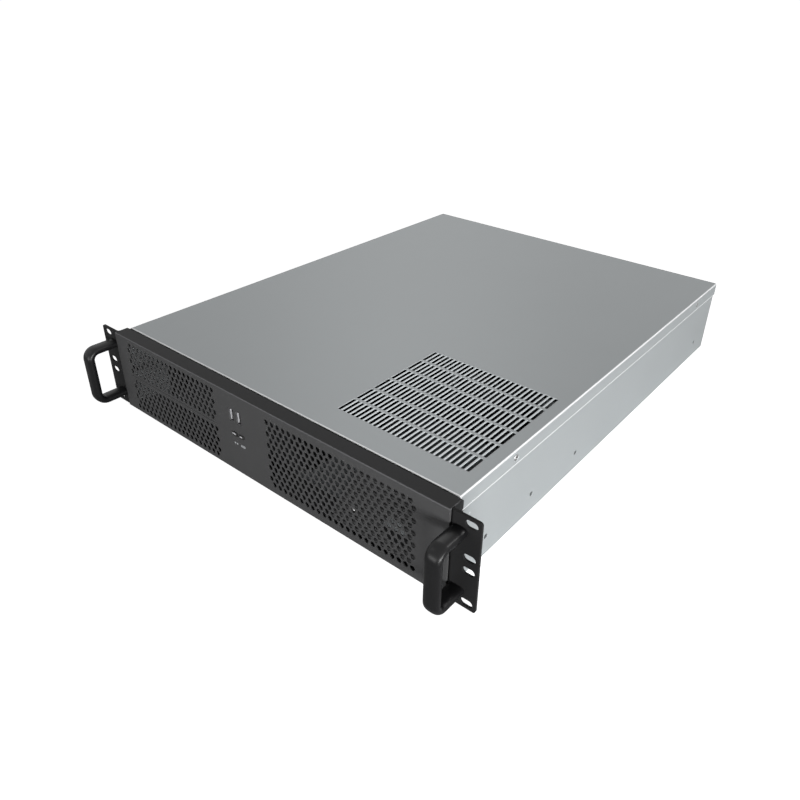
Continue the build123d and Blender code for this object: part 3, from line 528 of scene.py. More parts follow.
def folded(path: Outline, sheet: float, bend: float) -> Outline:
    """The section of a folded sheet.

    Args:
        path: Its outer corners; the metal lies to their left.
        sheet: Its thickness.
        bend: Inside radius of its bends.

    Returns:
        The outline.
    """
    spots = [Vector(p) for p in path]
    runs = [(b - a).normalized() for a, b in zip(spots, spots[1:])]
    left = [Vector((-run.y, run.x)) for run in runs]
    inner = [spots[0] + left[0] * sheet]
    outer_radii, inner_radii = [0.0], [0.0]
    for k in range(1, len(runs)):
        inner.append(spots[k] + (left[k - 1] + left[k]) * (sheet / (1 + left[k - 1].dot(left[k]))))
        is_left = runs[k - 1].x * runs[k].y - runs[k - 1].y * runs[k].x > 0
        outer_radii.append(bend + sheet if is_left else bend)
        inner_radii.append(bend if is_left else bend + sheet)
    inner.append(spots[-1] + left[-1] * sheet)
    corners = [tuple(p) for p in spots] + [tuple(p) for p in reversed(inner)]
    return rounded(corners, outer_radii + [0.0] + [0.0] + inner_radii[:0:-1], 8)


class Blank:
    """Closed shapes gathered in one mesh; their sizes are given in millimetres."""

    def __init__(self) -> None:
        """Starts empty."""
        self.shapes = bmesh.new()

    def skin(self, rings: list[list[Vector]]) -> "Blank":
        """Adds a closed skin over rings of equally many points, in metres."""
        made = [[self.shapes.verts.new(p) for p in ring] for ring in rings]
        count = len(made[0])
        for low, high in zip(made, made[1:]):
            for k in range(count):
                after = (k + 1) % count
                self.shapes.faces.new((low[k], low[after], high[after], high[k]))
        self.shapes.faces.new(made[0][::-1])
        self.shapes.faces.new(made[-1])
        return self

    def layers(self, axis: Along, sections: list[tuple[Outline, float]]) -> "Blank":
        """Adds a skin over outlines at places along an axis."""
        return self.skin([[axis.lift(u, v, run) for u, v in outline] for outline, run in sections])

    def prism(self, outline: Outline, axis: Along, start: float, end: float) -> "Blank":
        """Adds an outline extruded from start to end."""
        return self.layers(axis, [(outline, start), (outline, end)])

    def brick(self, x: Point, y: Point, z: Point) -> "Blank":
        """Adds a block between two corners."""
        corners = [(x[0], y[0]), (x[1], y[0]), (x[1], y[1]), (x[0], y[1])]
        return self.prism(corners, Along.Z, *z)

    def slab(self, x: float, z: float, size: Triple, start: float, end: float) -> "Blank":
        """Adds a pane of a width, a height and a corner radius, extruded in Y."""
        return self.prism(pane(x, z, *size), Along.Y, start, end)

    def through(self, shape: Grown, axis: Along, low: float, high: float, rim: float = RIM) -> "Blank":
        """Adds a cutter for an opening through a sheet, with both of its rims broken.

        Args:
            shape: The opening's outline when it is grown by a length.
            axis: The way through the sheet.
            low: The sheet's first face.
            high: Its second face.
            rim: Width of the broken edge.

        Returns:
            The blank itself.
        """
        wide, plain = shape(rim + PAST), shape(0.0)
        places = (low - PAST, low + rim, high - rim, high + PAST)
        return self.layers(axis, list(zip((wide, plain, plain, wide), places)))

    def turned(self, profile: list[Point], axis: Along, u: float, v: float, sides: int = 24) -> "Blank":
        """Adds a turned form.

        Args:
            profile: Radius and run from one end to the other.
            axis: The axis of turning.
            u: The middle on the first other axis.
            v: The middle on the second other axis.
            sides: Sides round the form.

        Returns:
            The blank itself.
        """
        return self.layers(axis, [(circle(u, v, radius, sides), run) for radius, run in profile])

    def mesh(self) -> bpy.types.Mesh:
        """Hands over the mesh, with its faces outwards."""
        bmesh.ops.recalc_face_normals(self.shapes, faces=self.shapes.faces)
        made = bpy.data.meshes.new("blank")
        self.shapes.to_mesh(made)
        self.shapes.free()
        return made

    def solid(self) -> "Solid":
        """Hands over the shapes on an object."""
        return Solid(self.mesh())


class Solid:
    """A mesh on an object of its own while it is worked on."""

    def __init__(self, mesh: bpy.types.Mesh) -> None:
        """Puts the mesh on an object."""
        self.holder = bpy.data.objects.new("work", mesh)
        bpy.context.scene.collection.objects.link(self.holder)

    def bake(self) -> "Solid":
        """Makes the modifiers' result the mesh."""
        graph = bpy.context.evaluated_depsgraph_get()
        mesh = bpy.data.meshes.new_from_object(self.holder.evaluated_get(graph))
        self.holder.modifiers.clear()
        self.holder.data = mesh
        return self

    def modify(self, kind: str, **settings: object) -> "Solid":
        """Applies one modifier."""
        step = self.holder.modifiers.new("step", kind)
        for name, value in settings.items():
            setattr(step, name, value)
        return self.bake()

    def combine(self, other: "Blank | Solid", operation: str) -> "Solid":
        """Unites with, cuts by or keeps the share of another shape, which is used up.

        Args:
            other: The other shape.
            operation: UNION, DIFFERENCE or INTERSECT.

        Returns:
            The solid itself.
        """
        tool = other.solid() if isinstance(other, Blank) else other
        self.modify("BOOLEAN", operation=operation, solver="MANIFOLD", object=tool.holder)
        tool.drop()
        return self

    def add(self, other: "Blank | Solid") -> "Solid":
        """Unites with a shape."""
        return self.combine(other, "UNION")

    def cut(self, other: "Blank | Solid") -> "Solid":
        """Cuts a shape away."""
        return self.combine(other, "DIFFERENCE")

    def keep(self, other: "Blank | Solid") -> "Solid":
        """Keeps what lies within a shape."""
        return self.combine(other, "INTERSECT")

    def mirror(self) -> "Solid":
        """Mirrors the solid in X and turns its faces outwards again."""
        self.holder.data.transform(Matrix.Scale(-1, 4, (1, 0, 0)))
        self.holder.data.flip_normals()
        return self

    def bevel(self, width: float, segments: int = 2, angle: float = 50.0) -> "Solid":
        """Breaks the edges that turn by more than an angle."""
        return self.modify("BEVEL", width=width * MM, segments=segments, limit_method="ANGLE",
                           angle_limit=math.radians(angle), harden_normals=False, miter_outer="MITER_ARC")

    def drop(self) -> None:
        """Removes the object."""
        bpy.data.objects.remove(self.holder)


class Tree(Graph):
    """A Geometry Nodes tree with named inputs."""

    def __init__(self, name: str, inputs: dict[str, str]) -> None:
        """Starts a tree.

        Args:
            name: The tree's name.
            inputs: The kind of each input by its name, such as Float.
        """
        super().__init__(bpy.data.node_groups.new(name, "GeometryNodeTree"))
        self.tree.is_modifier = True
        face = self.tree.interface
        face.new_socket("Geometry", in_out="INPUT", socket_type="NodeSocketGeometry")
        face.new_socket("Geometry", in_out="OUTPUT", socket_type="NodeSocketGeometry")
        self.keys = {label: face.new_socket(label, in_out="INPUT", socket_type="NodeSocket" + kind).identifier
                     for label, kind in inputs.items()}
        self.start = self.tree.nodes.new("NodeGroupInput")
        self.end = self.tree.nodes.new("NodeGroupOutput")

    def given(self, label: str) -> Signal:
        """What an input gives."""
        return Signal(self, self.start.outputs[label])

    def shape(self, label: str) -> Signal:
        """The geometry of the object that an input gives."""
        return self.node("GeometryNodeObjectInfo", {}, {"Object": self.given(label)}, "Geometry")

    def close(self, geometry: Signal) -> None:
        """Ends the tree with real geometry in its material."""
        real = self.node("GeometryNodeRealizeInstances", {}, {"Geometry": geometry})
        painted = self.node("GeometryNodeSetMaterial", {}, {
            "Geometry": real, "Material": self.given("Material")})
        self.feed(self.end.inputs["Geometry"], painted)

    def run(self, solid: Solid, **values: object) -> Solid:
        """Puts the tree on a solid, sets its inputs by name and bakes the result."""
        step = solid.holder.modifiers.new(self.tree.name, "NODES")
        step.node_group = self.tree
        for label, value in values.items():
            step[self.keys[label.replace("_", " ")]] = value
        return solid.bake()


class FieldCutter(Tree):
    """Cuts a field of equal openings, in rows that may be staggered, through what it is put on."""

    def __init__(self) -> None:
        """Builds the tree."""
        super().__init__("field_cutter", {
            "Cutter": "Object", "Columns": "Int", "Rows": "Int", "Pitch": "Float", "Row Pitch": "Float",
            "First Shift": "Float", "Turn": "Float", "Place": "Vector", "Material": "Material"})
        columns, rows = self.given("Columns"), self.given("Rows")
        grid = self.node("GeometryNodeMeshGrid", {}, {
            "Size X": (columns - 1.0) * self.given("Pitch"), "Size Y": (rows - 1.0) * self.given("Row Pitch"),
            "Vertices X": columns, "Vertices Y": rows})
        row = self.node("GeometryNodeInputIndex", {}, {}) % rows
        shift = self.given("First Shift") * ((row % 2.0) * -2.0 + 1.0)
        moved = self.node("GeometryNodeSetPosition", {}, {
            "Geometry": grid, "Offset": self.node("ShaderNodeCombineXYZ", {}, {"X": shift})})
        turn = self.node("ShaderNodeCombineXYZ", {}, {"X": self.given("Turn")})
        stood = self.node("GeometryNodeTransform", {}, {
            "Geometry": moved, "Rotation": turn, "Translation": self.given("Place")})
        spread = self.node("GeometryNodeInstanceOnPoints", {}, {
            "Points": stood, "Instance": self.shape("Cutter")})
        cutters = self.node("GeometryNodeRealizeInstances", {}, {"Geometry": spread})
        self.close(self.node("GeometryNodeMeshBoolean", {"operation": "DIFFERENCE", "solver": "MANIFOLD"}, {
            0: self.given("Geometry"), 1: cutters}))


class Scatter(Tree):
    """Sets one item on each point of a mesh, its +Z along the point's facing, turned about that at random."""

    def __init__(self, seed: int = 7) -> None:
        """Builds the tree."""
        super().__init__("scatter", {"Item": "Object", "Spin": "Float", "Material": "Material"})
        facing = self.node("GeometryNodeInputNamedAttribute", {"data_type": "FLOAT_VECTOR"}, {
            "Name": "facing"})
        aimed = self.node("FunctionNodeAlignRotationToVector", {"axis": "Z"}, {"Vector": facing})
        share = self.node("FunctionNodeRandomValue", {"data_type": "FLOAT"}, {"Seed": seed}, 1)
        turn = self.node("FunctionNodeAxisAngleToRotation", {}, {
            "Axis": (0.0, 0.0, 1.0), "Angle": share * self.given("Spin")})
        spun = self.node("FunctionNodeRotateRotation", {"rotation_space": "LOCAL"}, {
            "Rotation": aimed, "Rotate By": turn})
        self.close(self.node("GeometryNodeInstanceOnPoints", {}, {
            "Points": self.given("Geometry"), "Instance": self.shape("Item"), "Rotation": spun}))


class Ring(Tree):
    """Sets equal items round an axis along Y, and keeps what it is put on."""

    def __init__(self) -> None:
        """Builds the tree."""
        super().__init__("ring", {
            "Item": "Object", "Count": "Int", "Place": "Vector", "Material": "Material"})
        points = self.node("GeometryNodePoints", {}, {
            "Count": self.given("Count"), "Position": self.given("Place")})
        share = self.node("GeometryNodeInputIndex", {}, {}) / self.given("Count")
        turn = self.node("FunctionNodeAxisAngleToRotation", {}, {
            "Axis": (0.0, 1.0, 0.0), "Angle": share * math.tau})
        around = self.node("GeometryNodeInstanceOnPoints", {}, {
            "Points": points, "Instance": self.shape("Item"), "Rotation": turn})
        joined = self.node("GeometryNodeJoinGeometry", {}, {0: around})
        self.feed(joined.socket.node.inputs[0], self.given("Geometry"))
        self.close(joined)


@dataclass
class Workshop:
    """Finishes pieces: shading, finish, body and the nodes they stand for."""

    materials: dict[str, bpy.types.Material]
    looks: dict[str, bpy.types.Material]
    fields: FieldCutter = field(default_factory=FieldCutter)
    scatter: Scatter = field(default_factory=Scatter)
    ring: Ring = field(default_factory=Ring)

    def finish(self, solid: Solid, name: str, slot: str, nodes: tuple[str, ...] = (), body: str = "case",
               smooth: float = 30.0, look: Look | None = None) -> bpy.types.Object:
        """Finishes a piece: shades it, names it, gives it its material, sets it on its body and hides the CAD
        nodes that it stands for.

        Args:
            solid: Its mesh.
            name: Its name.
            slot: The record's material slot.
            nodes: The CAD nodes that it stands for.
            body: The body that it rides on.
            smooth: Faces that turn by less than this many degrees are shaded as one.
            look: A finish of its own, in place of the slot's.

        Returns:
            The piece.
        """
        solid.holder.data.shade_smooth()
        solid.holder.data.set_sharp_from_angle(angle=math.radians(smooth))
        solid.modify("WEIGHTED_NORMAL", mode="FACE_AREA", weight=100, keep_sharp=True)
        piece = solid.holder
        piece.name = name
        piece.data.name = name
        piece.data.materials.clear()
        piece.data.materials.append(self.looks[look.name] if look else self.materials[slot])
        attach(piece, body)
        if nodes:
            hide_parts(*nodes)
        LOG.info("%s: %d faces, %s, on %s", name, len(piece.data.polygons), slot, body)
        return piece

    def cut_field(self, solid: Solid, slot: str, cutter: Blank, **sizes: object) -> Solid:
        """Cuts a field of one cutter through a solid.

        Args:
            solid: What is cut.
            slot: The record's material slot.
            cutter: The cutter of one opening, about the origin.
            sizes: The other inputs of the FieldCutter tree, with underscores for blanks.

        Returns:
            The solid.
        """
        tool = cutter.solid()
        self.fields.run(solid, Cutter=tool.holder, Material=self.materials[slot], **sizes)
        tool.drop()
        return solid

    def spread(self, item: Solid, slot: str, spots: list[tuple[Vector, Vector]]) -> Solid:
        """Sets an item on spots, each turned about the way that it faces by chance.

        Args:
            item: The item, which is used up.
            slot: The record's material slot.
            spots: Places in millimetres and the ways that they face.

        Returns:
            All copies in one solid.
        """
        mesh = bpy.data.meshes.new("spots")
        mesh.from_pydata([Vector(spot) * MM for spot, _ in spots], [], [])
        facing = mesh.attributes.new("facing", "FLOAT_VECTOR", "POINT")
        for datum, (_, way) in zip(facing.data, spots):
            datum.vector = way
        made = self.scatter.run(Solid(mesh), Item=item.holder, Spin=math.tau, Material=self.materials[slot])
        item.drop()
        return made


@dataclass
class Bezel:
    """Perforated black face with its strips folded back, short side edges and a pressed bead.

    A pane is an opening's width, height and corner radius.
    """

    half_width: float = COVER_HALF + 2.3
    strip_y: float = 12.6
    side_y: float = -0.1
    hole_d: float = 5.3
    hole_rim: float = 0.05
    pitch: float = 7.0
    right_x: float = 99.6
    right_grid: tuple[int, int] = (24, 12)
    left_x: float = -126.0
    band_grid: tuple[int, int] = (20, 6)
    band_z: float = 21.2
    bead_half: float = 70.0
    bead_h: float = 1.6
    bead_proud: float = 0.6
    bead_root: float = 0.4
    socket_pane: Triple = (6.0, 13.4, 0.5)
    button_pane: Triple = (6.9, 3.9, 0.6)
    lens_pane: Triple = (6.2, 2.8, 1.0)
    lamp_r: float = 1.25

    def build(self, shop: Workshop) -> None:
        """Builds the bezel."""
        path = [(self.strip_y, TOP), (FACE, TOP), (FACE, -TOP), (self.strip_y, -TOP)]
        shell = Blank().prism(folded(path, SHEET, BEND), Along.X, -self.half_width, self.half_width).solid()
        high = TOP - SHEET / 2
        for side in SIDES:
            edge = sorted((side * self.half_width, side * (self.half_width - SHEET)))
            shell.add(Blank().brick(tuple(edge), (FACE + SHEET / 2, self.side_y), (-high, high)))
        shell.bevel(EDGE)
        bead_ends = (self.left_x - self.bead_half, self.left_x + self.bead_half)
        shell.add(Blank().prism(self.bead(), Along.X, *bead_ends))
        self.perforate(shop, shell)
        shell.cut(self.control_openings())
        shop.finish(shell, "front_bezel_sheet", "black_paint", ("front_bezel",), look=Look.bezel)

    def bead(self) -> Outline:
        """The section of the pressed bead between the two bands."""
        root, front, half = FACE + self.bead_root, FACE - self.bead_proud, self.bead_h / 2
        corners = [(root, -half), (root, half), (front, half), (front, -half)]
        return rounded(corners, [0.0, 0.0, self.bead_proud, self.bead_proud], 5)

    def perforate(self, shop: Workshop, shell: Solid) -> None:
        """Cuts the right field and the two bands of the left one."""
        shift = self.pitch / 4 * MM
        fields = [(self.right_grid, self.right_x, 0.0, shift)]
        fields += [(self.band_grid, self.left_x, z, -shift) for z in (-self.band_z, self.band_z)]
        for (columns, rows), x, z, first in fields:
            cutter = Blank().through(lambda grow: circle(0, 0, self.hole_d / 2 + grow, 16), Along.Y,
                                     FACE, FACE + SHEET, self.hole_rim)
            shop.cut_field(shell, "black_paint", cutter, Columns=columns, Rows=rows, Pitch=self.pitch * MM,
                           Row_Pitch=self.pitch * math.sqrt(3) / 2 * MM, First_Shift=first, Turn=math.pi / 2,
                           Place=(x * MM, 0.0, z * MM))

    def control_openings(self) -> Blank:
        """The openings for the sockets, the buttons and the lamps."""
        blank = Blank()
        panes = [(x, Controls.socket_z, self.socket_pane) for x in Controls.socket_x]
        panes += [(x, Controls.button_z, self.button_pane) for x in Controls.button_x]
        panes.append((Controls.button_x[1], Controls.lens_z, self.lens_pane))
        for x, z, (width, height, corner) in panes:
            blank.through(lambda grow: pane(x, z, width + 2 * grow, height + 2 * grow, corner + grow),
                          Along.Y, FACE, FACE + SHEET)
        for x in Controls.lamp_x:
            blank.through(lambda grow: circle(x, Controls.lens_z, self.lamp_r + grow, 20), Along.Y,
                          FACE, FACE + SHEET)
        return blank


@dataclass
class Cover:
    """Top sheet with its lips, the slotted field over the supply bay and dimples round its screws.

    A dimple's rings are a radius and a height over the sheet.
    """

    front: float = 14.5
    cut: float = 1.6
    tail: float = 6.4
    lip: float = 14.0
    rear_lip: float = 12.0
    flare: float = 0.5
    flare_h: float = 1.2
    vent_place: Point = (129.9, 111.9)
    vent_grid: tuple[int, int] = (28, 6)
    vent_pitch: Point = (5.03, 23.5)
    vent_slot: Point = (3.0, 20.2)
    vent_corner: float = 0.4
    vent_rim: float = 0.4
    dimple: tuple[Point, ...] = ((4.7, 0.4), (3.6, -0.35), (1.7, -0.36), (1.7, -2.0))

    def build(self, shop: Workshop) -> None:
        """Builds the cover."""
        low = TOP - self.lip
        half = COVER_HALF
        path = [(half + self.flare, low), (half, low + self.flare_h), (half, TOP), (-half, TOP),
                (-half, low + self.flare_h), (-half - self.flare, low)]
        sheet = Blank().prism(folded(path, SHEET, BEND), Along.Y, self.front, CASE_BACK - self.cut).solid()
        inside = half - SHEET - BEND
        rear = [(CASE_BACK, TOP - self.rear_lip), (CASE_BACK, TOP), (CASE_BACK - self.tail, TOP)]
        sheet.add(Blank().prism(folded(rear, SHEET, BEND), Along.X, -inside, inside))
        sheet.bevel(EDGE)
        self.slot(shop, sheet)
        sheet.cut(self.dimples())
        shop.finish(sheet, "top_cover_sheet", "galvanised_steel", ("top_cover",), look=Look.cover)

    def slot(self, shop: Workshop, sheet: Solid) -> None:
        """Cuts the slotted field."""
        width, length = self.vent_slot
        cutter = Blank().through(
            lambda grow: pane(0, 0, width + 2 * grow, length + 2 * grow, self.vent_corner + grow, 3),
            Along.Z, TOP - SHEET, TOP, self.vent_rim)
        columns, rows = self.vent_grid
        across, deep = self.vent_pitch
        x, y = self.vent_place
        shop.cut_field(sheet, "galvanised_steel", cutter, Columns=columns, Rows=rows, Pitch=across * MM,
                       Row_Pitch=deep * MM, First_Shift=0.0, Turn=0.0, Place=(x * MM, y * MM, 0.0))

    def dimples(self) -> Blank:
        """Shallow countersinks and holes for the screws."""
        blank = Blank()
        for spot, way in Screws.cover_spots():
            axis = Along.X if abs(way.x) > 0.5 else Along.Y
            sign = way.x + way.y
            face = spot.x if axis is Along.X else spot.y
            place = (spot.y, spot.z) if axis is Along.X else (spot.x, spot.z)
            blank.turned([(radius, face + sign * rise) for radius, rise in self.dimple], axis, *place)
        return blank


@dataclass
class Pan:
    """Floor and side walls of one sheet, with the lips under the cover and the slide rails' holes.

    A mark's rings are a radius and a height over the wall.
    """

    half_width: float = COVER_HALF - SHEET - 0.2
    front: float = 3.3
    back: float = 552.8
    top: float = TOP - SHEET
    lip: float = 12.0
    lip_front: float = 30.1
    floor_front: float = 12.7
    rail_z: float = -23.0
    rail_y: tuple[float, ...] = (56.0, 127.0, 208.0, 516.0)
    rail_r: float = 2.3
    rail_rim: float = 0.05
    mark: Point = (28.0, 20.0)
    mark_rings: tuple[Point, ...] = ((2.8, 0.4), (2.4, -0.1), (1.9, -0.3))

    def build(self, shop: Workshop) -> None:
        """Builds the pan."""
        half, inner = self.half_width, self.half_width - self.lip
        path = [(-inner, self.top), (-half, self.top), (-half, -TOP), (half, -TOP), (half, self.top),
                (inner, self.top)]
        pan = Blank().prism(folded(path, SHEET, BEND), Along.Y, self.front, self.back).solid()
        pan.cut(self.ends()).bevel(EDGE)
        pan.cut(self.side_holes())
        shop.finish(pan, "chassis_pan_sheet", "galvanised_steel", ("chassis_pan",), look=Look.pan)

    def ends(self) -> Blank:
        """What is cut off the front of the lips and of the floor, and off the rear of the lips."""
        wall = self.half_width - SHEET
        fold = SHEET + BEND
        wide = (-PANEL_HALF, PANEL_HALF)
        ahead, above = self.front - CLEAR, self.top + CLEAR
        blank = Blank().brick((-wall, wall), (ahead, self.lip_front), (self.top - 2 * SHEET, above))
        blank.brick(wide, (ahead, self.floor_front), (-TOP - CLEAR, fold - TOP))
        return blank.brick(wide, (self.back - SHEET, self.back + CLEAR), (self.top - fold, above))

    def side_holes(self) -> Blank:
        """The rails' holes through both walls, and a pressed mark near the front of each."""
        blank = Blank()
        for side in SIDES:
            face = side * self.half_width
            faces = sorted((face, side * (self.half_width - SHEET)))
            for y in self.rail_y:
                blank.through(lambda grow: circle(y, self.rail_z, self.rail_r + grow), Along.X, *faces,
                              self.rail_rim)
            rings = [(radius, face + side * rise) for radius, rise in self.mark_rings]
            blank.turned(rings, Along.X, *self.mark)
        return blank


@dataclass
class Ear:
    """Slotted rack ear with its flange along the chassis side."""

    side: int
    inner: float = COVER_HALF + 0.1
    sheet: float = 2.2
    bend: float = 2.4
    edge: float = 0.3
    flange: float = 18.5
    flange_top: float = TOP - SHEET
    corner: float = 2.5
    chamfer: float = 4.5
    slot_x: float = 232.55
    slot_z: tuple[float, ...] = (-38.1, -6.35, 6.35, 38.1)
    slot_size: Triple = (11.4, 6.8, 3.39)

    def build(self, shop: Workshop) -> None:
        """Builds the ear."""
        path = [(self.inner, self.flange), (self.inner, 0.0), (PANEL_HALF, 0.0)]
        ear = Blank().prism(folded(path, self.sheet, self.bend), Along.Z, -TOP, TOP).solid()
        self.trim(ear)
        slots = Blank()
        for z in self.slot_z:
            slots.prism(pane(self.slot_x, z, *self.slot_size, 8), Along.Y, -CLEAR, self.sheet + CLEAR)
        ear.cut(slots).bevel(self.edge)
        if self.side < 0:
            ear.mirror()
        name = "right" if self.side > 0 else "left"
        shop.finish(ear, f"ear_{name}_sheet", "black_paint", (f"ear_{name}",))

    def trim(self, ear: Solid) -> None:
        """Rounds the plate's outer corners, shortens the flange and cuts its upper corner off."""
        width = 2 * (PANEL_HALF - self.inner)
        behind, reach = self.flange + CLEAR, self.chamfer + CLEAR
        ear.keep(Blank().prism(pane(self.inner, 0, width, 2 * TOP, self.corner), Along.Y, -CLEAR, behind))
        across, end = (self.inner - CLEAR, self.inner + self.sheet + 0.1), TOP + CLEAR
        for ends in ((-end, -self.flange_top), (self.flange_top, end)):
            ear.cut(Blank().brick(across, (-CLEAR, behind), ends))
        above = self.flange_top + CLEAR
        edge = [(behind, above), (self.flange - reach, above), (behind, self.flange_top - reach)]
        ear.cut(Blank().prism(edge, Along.X, self.inner - CLEAR, self.inner + self.sheet + CLEAR))


@dataclass
class Handle:
    """Bent bar with well rounded edges, standing on its ear."""

    side: int
    x: float = 223.0
    leg_z: float = 28.85
    reach: float = 34.6
    width: float = 14.6
    thick: float = 8.2
    bend: float = 8.8
    steps: int = 12

    def build(self, shop: Workshop) -> None:
        """Builds the handle."""
        front = -self.reach + self.thick / 2
        corners = [(0.0, self.leg_z), (front, self.leg_z), (front, -self.leg_z), (0.0, -self.leg_z)]
        line = rounded(corners, [0.0, self.bend, self.bend, 0.0], self.steps)
        section = oval(self.width, self.thick)
        rings = []
        for k, spot in enumerate(line):
            before, after = line[max(k - 1, 0)], line[min(k + 1, len(line) - 1)]
            run = (Vector(after) - Vector(before)).normalized()
            if k in (0, len(line) - 1):
                run = Vector((-1.0, 0.0)) if k == 0 else Vector((1.0, 0.0))
            across = Vector((-run.y, run.x))
            middle = Vector((self.side * self.x, *spot))
            rings.append([(middle + Vector((u, v * across.x, v * across.y))) * MM for u, v in section])
        name = "right" if self.side > 0 else "left"
        shop.finish(Blank().skin(rings).solid(), f"handle_{name}_bar", "black_anodised", (f"handle_{name}",),
                    smooth=50.0)


@dataclass(frozen=True)
class Screw:
    """A screw along Z with a domed, cross-recessed head and a short shank.

    The dome's rings and the cross are shares of the head's radius and height.
    """

    radius: float
    height: float
    thread: float
    shank: float = 4.5
    dome: tuple[Point, ...] = ((1.0, 0.4), (0.94, 0.7), (0.8, 0.92), (0.55, 1.0))
    cross: Point = (0.22, 1.15)
    cross_floor: float = 0.6
    cross_depth: float = 1.2

    def build(self) -> Solid:
        """Builds the screw, with its seat at the origin."""
        crown = [(self.thread, -self.shank), (self.thread, -0.02), (self.radius, 0.0)]
        crown += [(self.radius * share, self.height * rise) for share, rise in self.dome]
        solid = Blank().turned(crown, Along.Z, 0, 0, 28).solid()
        deep = self.height - min(self.cross_depth, self.height * 0.75)
        narrow, long = (self.radius * share for share in self.cross)
        recess = Blank()
        for width, length in ((narrow, long), (long, narrow)):
            floor = pane(0, 0, width * self.cross_floor, length * self.cross_floor)
            recess.layers(Along.Z, [(floor, deep), (pane(0, 0, width, length), self.height + 0.2)])
        return solid.cut(recess)


@dataclass
class Screws:
    """All screws, spread by the Scatter tree; a place is that of one screw of its set."""

    cover_y: Point = (91.0, 491.0)
    cover_z: float = 36.45
    rear_x: Triple = (-170.0, 10.0, 170.0)
    rear_z: float = 37.55
    sunk: float = 0.3
    ear_place: Triple = (214.8, 8.6, 27.0)
    slot_place: Triple = (-17.5, 545.75, 38.4)
    slot_pitch: float = 20.32
    slot_count: int = 7
    frame_place: Triple = (116.0, 2.2, -12.0)

    @classmethod
    def cover_spots(cls) -> list[tuple[Vector, Vector]]:
        """Places on the cover and the ways they face."""
        sides = [(Vector((side * COVER_HALF, y, cls.cover_z)), Vector((side, 0, 0)))
                 for side in SIDES for y in cls.cover_y]
        return sides + [(Vector((x, CASE_BACK, cls.rear_z)), Vector((0, 1, 0))) for x in cls.rear_x]

    def build(self, shop: Workshop) -> None:
        """Builds each set."""
        x, y, z = self.ear_place
        ear = [(Vector((side * x, y, up * z)), Vector((side, 0, 0))) for side in SIDES for up in SIDES]
        handle = [(Vector((side * Handle.x, Ear.sheet, up * Handle.leg_z)), Vector((0, 1, 0)))
                  for side in SIDES for up in SIDES]
        x, y, z = self.slot_place
        slots = [(Vector((x - k * self.slot_pitch, y, z)), Vector((0, 0, 1))) for k in range(self.slot_count)]
        fans = [(Vector((x + off, Fans.back + SHEET, Fans.z + off)), Vector((0, 1, 0)))
                for x in Fans.places for off in (-Fans.hole_at, Fans.hole_at)]
        cover = [(spot - way * self.sunk, way) for spot, way in self.cover_spots()]
        for node, spots, screw, finish in (
                ("cover_screws", cover, Screw(3.0, 0.6, 1.5), "screw_zinc"),
                ("ear_screws", ear, Screw(2.8, 1.0, 1.5), "screw_black"),
                ("handle_screws", handle, Screw(3.5, 2.4, 2.0), "screw_black"),
                ("slot_screws", slots, Screw(3.0, 1.6, 1.5), "screw_zinc"),
                ("fan_screws", fans, Screw(3.5, 1.6, 2.0), "screw_black")):
            shop.finish(shop.spread(screw.build(), finish, spots), node + "_heads", finish, (node,))
        made = shop.spread(Screw(3.0, 2.6, 1.5).build(), "screw_zinc",
                           [(Vector(self.frame_place), Vector((0, -1, 0)))])
        shop.finish(made, "frame_screw_head", "screw_zinc")


